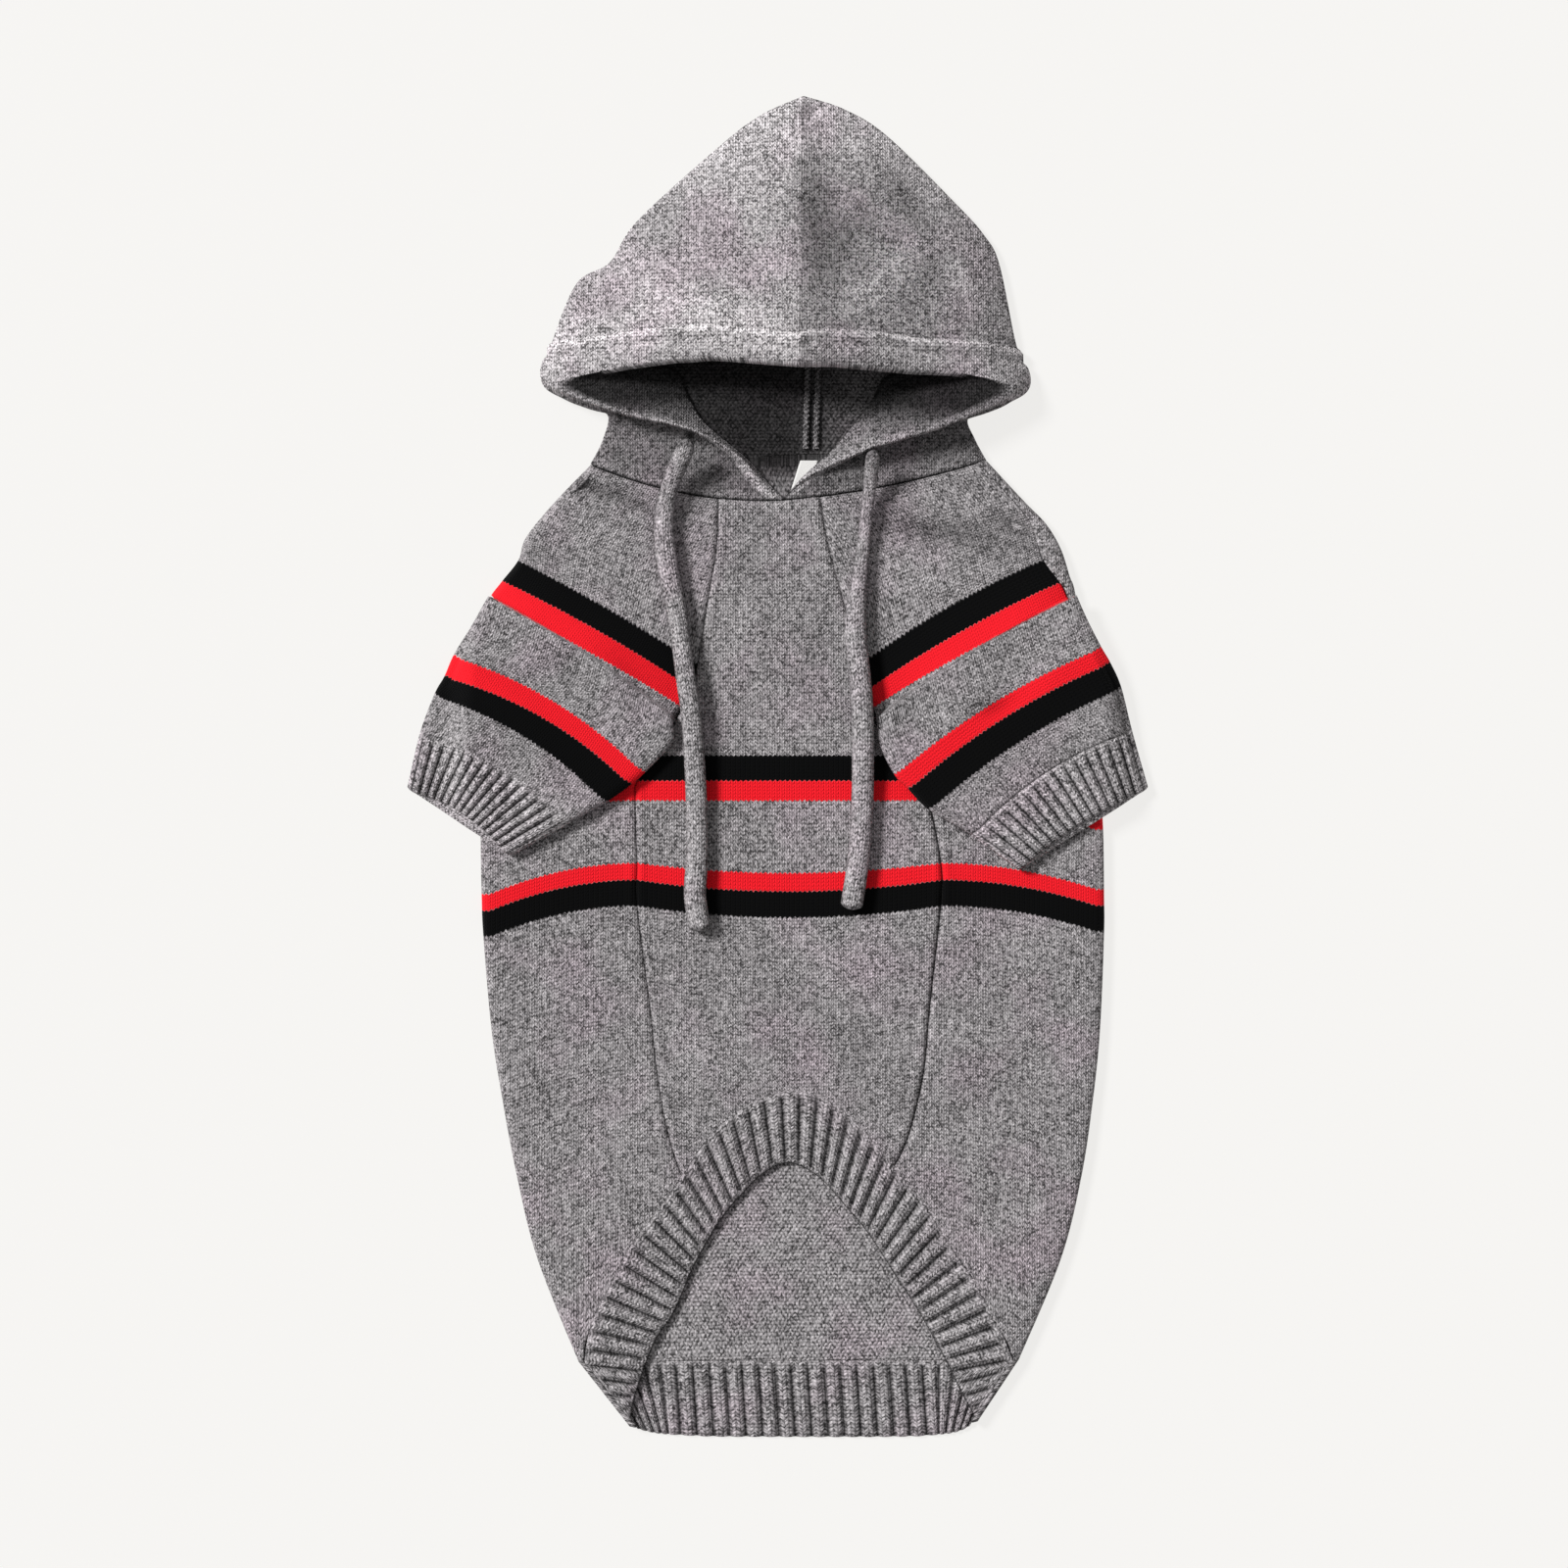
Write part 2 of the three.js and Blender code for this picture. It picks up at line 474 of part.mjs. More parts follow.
// Ring of the sleeve's cap, which has the same columns, though only its upper ones are kept.
// It lies level with the belly panel along the raglan seam and rises toward the armhole
function capRing(row, side, position) {
  const edge = side === "left" ? LEFT_STUB : rowAt(BODY, position).stub;
  const end = moved(row.outer, toward(row.outer, row.inner), FOLD + 2 * HALF_SEAM + edge);
  const rise = Math.max((position - CAP_ROW) / (FIRST_TUBE_ROW - CAP_ROW), 0) ** 1.5;
  const pairs = tubeRing(row, side, SLEEVE_COLUMNS);
  const shares = [0, CAP_LIP, ...steps(SLEEVE_COLUMNS).map((t) => mix(2 * CAP_LIP, 1, t))];
  shares.forEach((share, k) => {
    const p = mixPoint(row.inner, end, share);
    const upper = SLEEVE_LOW + SLEEVE_HEIGHT - WALL;
    const crown = mix(FRONT, upper, rise * Math.sin(Math.PI * Math.min(share, 0.5)));
    const fall = Math.max(0, (share - 1 + CAP_FLAT) / CAP_FLAT) ** 2;
    pairs[k] = flatPair(position === 0 ? neckAt(p[0]) : p, mix(crown, FRONT, fall));
  });
  pull(pairs[0], pairs[1], HALF_SEAM);
  return pairs;
}

function sleeve(side) {
  const table = side === "left" ? SLEEVE_LEFT : SLEEVE_RIGHT;
  const positions = [0, 1, 2, 3, 3.5, 4, 4.5, 5, 5.5, 6, 7, 8, 9, CUFF_ROW];
  const grid = positions.map((at) => {
    const row = rowAt(table, at);
    return at < FIRST_TUBE_ROW ? capRing(row, side, at) : tubeRing(row, side, SLEEVE_COLUMNS);
  });
  drawBack(grid, { first: HALF_SEAM, last: HALF_SEAM });
  const firstTube = positions.indexOf(FIRST_TUBE_ROW);
  const capColumns = SLEEVE_COLUMNS + 2;
  return wall(`sleeve_${side}`, grid, MARL, (i, j) => i >= firstTube || j < capColumns);
}

// Ribbed cuff, raised on top; its underside rests on the body and the floor and is plain
function cuff(side) {
  const table = side === "left" ? SLEEVE_LEFT : SLEEVE_RIGHT;
  const grid = [CUFF_ROW, CUFF_ROW + 1].map((at) =>
    tubeRing(rowAt(table, at), side, COLUMNS_PER_RIB * CUFF_RIBS, ribHeight));
  drawBack(grid, { first: HALF_SEAM });
  return wall(`cuff_${side}`, grid, RIBBED);
}

// Profile of the hood's upper layer above the floor: rounded at the fold, straighter above
function tent(share, height) {
  const round = Math.sqrt(Math.max(0, 1 - (1 - share) ** 2));
  return FOLD + (height - FOLD) * mix(share, round, TENT_ROUND);
}

// Half of the hood
function hoodHalf(side) {
  const table = side === "left" ? HOOD_LEFT : HOOD_RIGHT;
  const rows = 2 * (table.length - 1);
  const grid = steps(rows).map((v) => {
    const position = v * (table.length - 1);
    const row = rowAt(table, position);
    const lip = row.lip.slice(0, 2);
    const length = span(row.side, lip);
    const topWay = toward(row.side, lip);
    const lowWay = toward(row.side, row.back);
    const casing = Math.min(CASING, CASING_SHARE * length) / length;
    const single = 1 - casing * CASING_STITCH;
    const shares = [1, 1 - casing, single];
    for (let k = 1; k < HOOD_UPPER; k += 1) shares.push(single * (1 - k / HOOD_UPPER) ** FOLD_CROWD);
    const neckShare = Math.max(0, 1 - position / 2);
    const upperPoint = (share) => {
      const height = mix(row.lip[2], 2 * FOLD, neckShare);
      const z = mix(tent(share, height), tent(Math.min(1, share * NECK_STEEP), 2 * FOLD), neckShare);
      return { s: share * length, z };
    };
    const profile = shares.map(upperPoint);
    const pairs = profile.map((p, k) => {
      const before = upperPoint(Math.min(1, shares[k] + TILT_STEP));
      const after = upperPoint(Math.max(0, shares[k] - TILT_STEP));
      const slope = Math.hypot(before.s - after.s, before.z - after.z);
      const normal = [-(before.z - after.z) / slope, (before.s - after.s) / slope];
      const thick = k < 2 ? mix(CASING_WALL, WALL, Math.min(1, neckShare * CASING_THIN)) : WALL;
      const bow = NECK_BOW[side] * neckShare * 4 * shares[k] * (1 - shares[k]);
      const at = (s) => {
        const q = moved(row.side, topWay, s);
        return [q[0], q[1] - bow];
      };
      return {
        outer: new THREE.Vector3(...at(p.s), p.z),
        inner: new THREE.Vector3(...at(p.s - normal[0] * thick), p.z - normal[1] * thick),
      };
    });
    const halfWay = toward([0, 0], [topWay[0] + lowWay[0], topWay[1] + lowWay[1]]);
    pairs.push({
      outer: new THREE.Vector3(...row.side, FOLD),
      inner: new THREE.Vector3(...moved(row.side, halfWay, WALL), FOLD),
    });
    const quarter = FOLD * (1 - Math.SQRT1_2);
    pairs.push({
      outer: new THREE.Vector3(...moved(row.side, lowWay, quarter), quarter),
      inner: new THREE.Vector3(...moved(row.side, lowWay, WALL + 0.1), WALL + 0.1),
    });
    const reach = span(row.side, row.back);
    for (const t of steps(HOOD_LOWER)) {
      const s = mix(Math.min(FOLD, 0.4 * reach), reach, t);
      pairs.push(underPair(moved(row.side, lowWay, s), 0));
    }
    return pairs;
  });
  drawBack(grid, { first: HALF_SEAM, right: HALF_SEAM });
  for (const pair of grid.at(-1)) {
    for (const point of Object.values(pair)) point.x += side === "left" ? -HALF_SEAM : HALF_SEAM;
  }
  return wall(`hood_${side}`, grid, MARL);
}

// Woven label sewn into the nape seam, lying on the inside of the back
function neckLabel() {
  const { top, left, right, length, lean, thick } = LABEL;
  const low = WALL + 0.3;
  const rows = [0, 0.5, 1].map((t) => [left, right].map((x) =>
    flatPair([x + lean * t, top - length * t], low, thick)));
  return wall("neck_label", rows, WHITE);
}

// Knitted drawcord
function drawcord(side, route) {
  const points = route.map((p) => new THREE.Vector3(...p));
  const path = new THREE.CatmullRomCurve3(points, false, "centripetal");
  const around = CORD_SIDES;
  const along = Math.round(path.getLength() / CORD_WIDTH);
  const rings = steps(along).map((t) => {
    const centre = path.getPointAt(t);
    const tangent = path.getTangentAt(t);
    const across = new THREE.Vector3(tangent.y, -tangent.x, 0).normalize();
    const up = new THREE.Vector3().crossVectors(across, tangent).normalize();
    const end = Math.min(1, 0.8 + 4 * Math.min(t, 1 - t));
    return steps(around).slice(0, -1).map((turn) => {
      const angle = 2 * Math.PI * turn;
      return centre.clone()
        .addScaledVector(across, CORD_WIDTH / 2 * end * Math.cos(angle))
        .addScaledVector(up, CORD_THICK / 2 * end * Math.sin(angle));
    });
  });
  const positions = rings.flat().flatMap((p) => p.toArray());
  const faces = [];
  for (let i = 0; i < along; i += 1) {
    for (let k = 0; k < around; k += 1) {
      const a = i * around + k;
      const b = i * around + (k + 1) % around;
      faces.push(a, b, b + around, a, b + around, a + around);
    }
  }
  for (const [ring, turned] of [[0, true], [along, false]]) {
    for (let k = 1; k < around - 1; k += 1) {
      const tip = ring * around;
      faces.push(...(turned ? [tip, tip + k + 1, tip + k] : [tip, tip + k, tip + k + 1]));
    }
  }
  return solid(`drawcord_${side}`, positions, faces, CORD);
}

const sweater = new THREE.Group();
sweater.add(backPanel(), bellyPanel(), bellyArchRib(), backHemRib());
for (const side of ["left", "right"]) sweater.add(sleeve(side), cuff(side), hoodHalf(side));
sweater.add(neckLabel(), drawcord("left", CORD_LEFT), drawcord("right", CORD_RIGHT));

export default sweater;
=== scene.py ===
# A knitted dog sweater with a drawstring hood, laid flat with its belly side up. Metres, Z up.
import math

import bpy
import numpy as np
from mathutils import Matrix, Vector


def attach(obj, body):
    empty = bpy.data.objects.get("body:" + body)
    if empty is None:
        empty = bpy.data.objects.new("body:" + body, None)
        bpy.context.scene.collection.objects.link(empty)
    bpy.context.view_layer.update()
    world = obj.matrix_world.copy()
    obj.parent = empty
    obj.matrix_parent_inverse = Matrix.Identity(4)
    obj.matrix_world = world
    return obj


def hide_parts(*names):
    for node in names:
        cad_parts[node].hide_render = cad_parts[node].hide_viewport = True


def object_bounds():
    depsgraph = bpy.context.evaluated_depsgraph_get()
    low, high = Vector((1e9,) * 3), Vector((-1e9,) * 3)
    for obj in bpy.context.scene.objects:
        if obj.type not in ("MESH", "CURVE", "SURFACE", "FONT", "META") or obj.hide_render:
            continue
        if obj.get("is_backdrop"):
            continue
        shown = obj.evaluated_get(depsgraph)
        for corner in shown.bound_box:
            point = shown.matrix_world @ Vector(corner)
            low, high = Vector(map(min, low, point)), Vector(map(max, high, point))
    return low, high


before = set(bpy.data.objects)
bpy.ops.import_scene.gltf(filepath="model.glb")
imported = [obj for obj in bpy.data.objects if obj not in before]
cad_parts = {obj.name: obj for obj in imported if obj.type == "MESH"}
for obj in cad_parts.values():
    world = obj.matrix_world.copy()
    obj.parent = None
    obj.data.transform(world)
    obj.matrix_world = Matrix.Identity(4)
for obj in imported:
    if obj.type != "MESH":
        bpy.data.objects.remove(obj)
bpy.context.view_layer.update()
bpy.ops.object.select_all(action="DESELECT")
MM = 0.001


# The picture: the garment lies on a pale table that glows a little, under a lamp up to the
# left, and the camera looks straight down from 1.65 m, with the frame 592 mm wide.
CAMERA_AT = (2.4 * MM, -6.7 * MM, 1649 * MM)
PAPER = (0.09, 0.089, 0.088, 1)
PAPER_GLOW = (0.81, 0.80, 0.782, 1)
TABLE_SIZE = 8
TABLE_DROP = 0.3 * MM
ROOM_LIGHT = 0.30
KEY_LIGHT = 3.75
KEY_SPREAD = math.radians(15)
KEY_TILT = math.radians(50)
KEY_TURN = math.radians(239)


def surfaced(name, settings):
    """New material and its surface, with the named sockets of the surface set"""
    material = bpy.data.materials.new(name)
    material.use_nodes = True
    surface = material.node_tree.nodes["Principled BSDF"]
    for socket, value in settings.items():
        surface.inputs[socket].default_value = value
    return material, surface


scene = bpy.context.scene
scene.view_settings.view_transform = "Standard"
bpy.ops.object.camera_add(location=CAMERA_AT)
scene.camera = bpy.context.object
scene.camera.data.lens = 100
scene.camera.data.sensor_width = 36

bpy.ops.mesh.primitive_plane_add(size=TABLE_SIZE, location=(0, 0, -TABLE_DROP))
table = bpy.context.object
table.name = "table_top"
paper, _ = surfaced("pale_table", {"Base Color": PAPER, "Roughness": 0.9,
                                   "Emission Color": PAPER_GLOW, "Emission Strength": 1.0})
table.data.materials.append(paper)
table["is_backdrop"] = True

scene.world = bpy.data.worlds.new("studio")
scene.world.use_nodes = True
room = scene.world.node_tree.nodes["Background"]
room.inputs["Color"].default_value = (1, 1, 1, 1)
room.inputs["Strength"].default_value = ROOM_LIGHT
bpy.ops.object.light_add(type="SUN", location=(-1.3, 0.8, 1.25), rotation=(KEY_TILT, 0, KEY_TURN))
key_lamp = bpy.context.object
key_lamp.name = "key_lamp"
key_lamp.data.angle = KEY_SPREAD
key_lamp.data.energy = KEY_LIGHT


# Back panel: marl jersey, cut in one with both sides, which fold round onto the front as far
# as the belly seams. It lies face down on the table and its purl side shows in the arch.
WALL = 2.2 * MM
FOLD = 2.6 * MM
FRONT = 3.0 * MM
SEAM = 0.15 * MM
SIDES = ("left", "right")
SIGN = {"left": 1, "right": -1}
# columns that hold the outer and the inner point of each side in the tables of rows
OUTSIDE = {"left": slice(0, 2), "right": slice(6, 8)}
INSIDE = {"left": slice(2, 4), "right": slice(4, 6)}
BODY = np.array([
    # left fold, left seam, right seam, right fold, and the width left free by the right cap
    (-70.9, 114, -22.4, 101, 16.1, 100.6, 79, 115.4, 0.6),
    (-84.9, 99.5, -23.1, 82.1, 19.4, 82.1, 93.4, 99.9, 0.6),
    (-95.3, 86.6, -25.7, 66.2, 23.9, 66.2, 101.6, 91.4, 2.4),
    (-98.2, 78.1, -30.2, 39.2, 31.3, 39.2, 107.1, 82.1, 5.2),
    (-104.2, 70.3, -32.4, 28.5, 34.2, 28.5, 110.4, 71.8, 1.8),
    (-109, 64, -38.3, 17.4, 36.4, 17.4, 112.7, 64.4, 0.6),
    (-109.7, 30.3, -46.4, 4.4, 45, 4.4, 118.2, 30.3, 0.6),
    (-111.9, -6.7, -53.2, -6, 53, -6, 121.5, -5.5, 0.6),
    (-112.3, -22.9, -53.8, -12.6, 57, -12.6, 123, -22.9, 0.6),
    (-111.9, -48.8, -53.1, -36.3, 61.6, -36.3, 123.4, -49.2, 0.6),
    (-111.2, -64.8, -53.1, -52.2, 61.6, -52.2, 123.4, -63.3, 0.6),
    (-108.2, -99.2, -48.3, -90, 57.5, -90, 121.9, -99.2, 0.6),
    (-104.2, -125.1, -45.7, -114, 55.3, -114, 119.3, -125.1, 0.6),
    (-98.6, -154.7, -42.8, -132, 51.5, -132, 114.9, -154.7, 0.6),
    (-90.8, -186.1, -39.5, -145, 47.6, -144, 107.1, -186.1, 0.6),
    (-75.3, -225, -36.1, -154.7, 43.8, -151, 91.2, -224.2, 0.6),
]) * MM
ARMHOLE_ROW = 5
LAST_ROW = len(BODY) - 1
LEFT_FREE = 0.6 * MM
# the fold is tucked in and flattened under the left cap
TUCKED = 2.4 * MM
TUCKED_HIGH = 2.8 * MM
TUCKED_WALL = 1.3 * MM
TUCKED_ROWS = 0.8
BACK_NECK = np.array((12, 118)) * MM
FRONT_NECK = np.array((1.3, 100.4)) * MM
NECK_BOW = {"left": 4.2 * MM, "right": 2.2 * MM}
ARCH_OUTER = np.array([
    (-75.3, -225), (-70.1, -210.2), (-62.7, -195.4), (-54.9, -180.2), (-47.5, -170.6),
    (-36.1, -154.7), (-25, -138.8), (-9.8, -127.3), (5.4, -122.5), (19.1, -125.8),
    (32, -136.2), (43.8, -151), (54.6, -163.5), (63.8, -178.3), (75.3, -195.4),
    (82, -208.7), (91.2, -224.2)]) * MM
STRIP_START = {"left": 0.025, "right": 0.975}
STRIP_WIDTH = 60 * MM
STRIPE_DROOP = {"left": 13 * MM, "right": 9.8 * MM}
# how far the side seams of the belly are sunk, in millimetres
SUNK = {"left": 0.55, "right": 0.95}
BEND_ROWS = 3
FIRST_ROWS = (0, 0.02, 0.05)
GRAIN = 2.0 * MM
STRIP = 30
ARC = 9
ACROSS = 60
TINY = 1e-6

# Yarn: grey marl spun from light and dark fibres, and the two colours of the stripes
GREY = (0.226, 0.214, 0.218, 1)
ROSE = (0.252, 0.218, 0.236, 1)
BLACK = (0.0016, 0.0016, 0.0018, 1)
RED = (0.98, 0.014, 0.025, 1)
# noise in the marl: scale, detail and roughness of its fibres, clouds, rosy patches and streaks
NOISES = ((1300, 3, 0.7), (60, 4, 0.62), (34, 3, 0.5), (420, 2, 0.6))
WALE = 1.85 * MM
COURSE = 1.28 * MM


def catmull(points, at):
    """Smooth line through the rows of a table, read at fractional row numbers"""
    points = np.asarray(points, float)
    at = np.clip(np.atleast_1d(np.asarray(at, float)), 0, len(points) - 1)
    low = np.minimum(at.astype(int), len(points) - 2)
    t = (at - low)[:, None]
    a, b, c, d = (points[np.clip(low + k, 0, len(points) - 1)] for k in (-1, 0, 1, 2))
    return 0.5 * (2 * b + (c - a) * t + (2 * a - 5 * b + 4 * c - d) * t ** 2
                  + (3 * b - a - 3 * c + d) * t ** 3)


def run_along(points):
    """Distance along a line of points"""
    return np.concatenate([[0], np.cumsum(np.linalg.norm(np.diff(points, axis=0), axis=1))])


def curve(points):
    """Smooth line through points, read by its share of the length"""
    dense = catmull(points, np.linspace(0, len(points) - 1, 40 * len(points)))
    run = run_along(dense)
    return lambda t: np.stack([np.interp(t, run / run[-1], column) for column in dense.T], -1)


def mix(a, b, t):
    return a + (b - a) * t


def unit(v):
    return v / np.maximum(np.linalg.norm(v, axis=-1, keepdims=True), 1e-12)


def bell(distance, width):
    return np.exp(-(distance / width) ** 2)


def ease(x):
    x = np.clip(x, 0, 1)
    return x * x * (3 - 2 * x)


def crowded(count):
    """Shares from 0 to 1 that crowd together toward 1"""
    return 1 - (1 - np.linspace(0, 1, count)) ** 1.5


def lifted(place, height):
    """Points of a plan, raised to a height"""
    return np.column_stack([place, np.broadcast_to(height, len(place))])


# Soft unevenness of cloth laid out by hand: direction in degrees, wave and height in mm, shift
UNEVEN = ((12, 96, 0.11, 0.4), (74, 71, 0.10, 2.1), (131, 58, 0.09, 4.0), (42, 43, 0.07, 1.2),
          (103, 34, 0.05, 5.1))


def uneven(place):
    total = 0
    for turn, wave, height, shift in UNEVEN:
        run = place @ (math.cos(math.radians(turn)), math.sin(math.radians(turn)))
        total = total + height * MM * np.sin(2 * math.pi * run / (wave * MM) + shift)
    return total


def creased(place, table):
    """Height of soft folds: ends, height in mm and width in mm of each, in a table"""
    total = 0
    for x0, y0, x1, y1, height, width in table:
        offset = place - np.array((x0, y0)) * MM
        run = np.array((x1 - x0, y1 - y0)) * MM
        near = np.clip(offset @ run / (run @ run), 0, 1)
        away = np.linalg.norm(offset - near[:, None] * run, axis=1)
        total = total + height * MM * bell(away, width * MM) * (0.35 + 0.65 * np.sin(math.pi * near))
    return total


def fold_shade(height):
    """How dark the bottom of a soft fold is, and how light its top"""
    return np.clip(-0.24 * height / MM, -0.28, 0.45)


def seam_roll(distance, sunk=0.9):
    """How far the face of the cloth sinks into a seam and swells beside it"""
    return (0.3 * bell(distance - 2.4 * MM, 1.2 * MM) - sunk * bell(distance, 0.7 * MM)) * MM


# Painted shade along the sunk line of a seam
def seam_shade(distance, width=0.34 * MM, depth=0.7):
    return depth * bell(distance, width)


def hood_inside_shade(points):
    """Painted shade inside the hood: darkest at the top and left, far from the opening"""
    x, y, z = np.moveaxis(points, -1, 0)
    inside = ease((y - 94 * MM) / (24 * MM)) * (z < 2 * FOLD)
    return inside * mix(0.97, 0.72, ease((x - 2 * MM) / (30 * MM)))


def shell(name, outer, inner, uv, painted_shade=0, inside=0, keep=None, purl=1):
    """Closed wall from two grids of points, with its edges rounded, and painted shade on its outer and
    inner faces
    """
    rows, columns = outer.shape[:2]
    keep = np.ones((rows - 1, columns - 1), bool) if keep is None else keep
    outer, inner, uv = outer.reshape(-1, 3), inner.reshape(-1, 3), uv.reshape(-1, 2)
    count = rows * columns
    index = np.arange(count).reshape(rows, columns)
    corners = np.stack([index[:-1, :-1], index[:-1, 1:], index[1:, 1:], index[1:, :-1]], -1)
    faces = [corners[keep][:, [0, 3, 2, 1]], corners[keep] + count]
    padded = np.pad(keep, 1)
    away = {}
    edges = []
    for side, (down, over) in enumerate(((-1, 0), (0, 1), (1, 0), (0, -1))):
        beside = padded[1 + down:rows + down, 1 + over:columns + over]
        for ring in corners[keep & ~beside]:
            first, second = ring[side], ring[(side + 1) % 4]
            edges.append((first, second))
            way = unit((outer[first] + outer[second]) / 2 - outer[ring].mean(0))
            away[first] = away.get(first, 0) + way
            away[second] = away.get(second, 0) + way
    border = list(away)
    rim = {vertex: 2 * count + place for place, vertex in enumerate(border)}
    wall = np.linalg.norm(outer[border] - inner[border], axis=1, keepdims=True)
    rim_points = (outer[border] + inner[border]) / 2 + unit(np.array(list(away.values()))) * 0.22 * wall
    faces.append(np.array([(p, q, rim[q], rim[p]) for p, q in edges]))
    faces.append(np.array([(rim[p], rim[q], q + count, p + count) for p, q in edges]))
    painted_shade, inside = (np.broadcast_to(part, (rows, columns)).ravel() for part in (painted_shade, inside))
    return cloth_object(name, np.concatenate([outer, inner, rim_points]), np.concatenate(faces),
                        np.concatenate([uv, uv, uv[border]]),
                        np.repeat((0, purl, purl / 2), (count, count, len(border))),
                        np.concatenate([painted_shade, inside, painted_shade[border]]))


def cloth_object(name, points, faces, uvs, purl, painted_shade):
    """Object whose unused points are dropped and whose faces point outwards"""
    used, packed = np.unique(faces, return_inverse=True)
    faces = packed.reshape(faces.shape)
    points, uvs, purl, painted_shade = points[used], uvs[used], purl[used], painted_shade[used]
    corner = points[faces]
    volume = sum(np.einsum("ij,ij->i", corner[:, 0], np.cross(corner[:, k], corner[:, k + 1])).sum()
                 for k in range(1, faces.shape[1] - 1))
    if volume < 0:
        faces = faces[:, ::-1]
    mesh = bpy.data.meshes.new(name)
    mesh.from_pydata(points.tolist(), [], faces.tolist())
    layer = mesh.uv_layers.new(name="knit")
    corners = np.empty(len(mesh.loops), int)
    mesh.loops.foreach_get("vertex_index", corners)
    layer.data.foreach_set("uv", uvs[corners].ravel().astype(np.float32))
    for title, values in (("purl", purl), ("painted_shade", painted_shade)):
        mesh.attributes.new(title, "FLOAT", "POINT").data.foreach_set("value", values.astype(np.float32))
    mesh.shade_smooth()
    made = bpy.data.objects.new(name, mesh)
    scene.collection.objects.link(made)
    return made


def dress(piece, node, material):
    """Gives a piece its finish and its body, and hides the part of the model that it stands for"""
    piece.data.materials.append(material)
    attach(piece, "root")
    if node:
        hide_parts(node)
    return piece


class Yarn:
    """Socket of a material that takes part in sums"""

    def __init__(self, tree, socket=None):
        self.tree = tree
        self.socket = socket

    def node(self, kind, settings=None, inputs=None, output=0):
        made = self.tree.nodes.new(kind)
        for name, value in (settings or {}).items():
            setattr(made, name, value)
        for name, value in (inputs or {}).items():
            if isinstance(value, Yarn):
                self.tree.links.new(value.socket, made.inputs[name])
            else:
                made.inputs[name].default_value = value
        return Yarn(self.tree, made.outputs[output])

    def math(self, operation, *others):
        return self.node("ShaderNodeMath", {"operation": operation}, dict(enumerate((self, *others))))

    def __add__(self, other):
        return self.math("ADD", other)

    __radd__ = __add__

    def __sub__(self, other):
        return self.math("SUBTRACT", other)

    def __rsub__(self, other):
        return self.node("ShaderNodeMath", {"operation": "SUBTRACT"}, {0: other, 1: self})

    def __mul__(self, other):
        return self.math("MULTIPLY", other)

    __rmul__ = __mul__

    def __truediv__(self, other):
        return self.math("DIVIDE", other)

    def __pow__(self, other):
        return self.math("POWER", other)

    def __abs__(self):
        return self.math("ABSOLUTE")

    def arch(self):
        """Half a wave of a sine over each whole number"""
        return (self.math("FRACT") * math.pi).math("SINE")

    def rise(self, low):
        """Goes from 0 to 1 over a third of a millimetre"""
        return self.node("ShaderNodeMapRange", None,
                         {"Value": self, "From Min": low - 0.17 * MM, "From Max": low + 0.17 * MM})

    def scaled(self, factor):
        return self.node("ShaderNodeVectorMath", {"operation": "SCALE"}, {0: self, "Scale": factor})

    def mixed(self, first, second):
        """Mixes two colours by this share"""
        return self.node("ShaderNodeMix", {"data_type": "RGBA"}, {0: self, 6: first, 7: second}, output=2)


def shaded_colour(colour, share):
    return tuple(share * part for part in colour[:3]) + (1,)


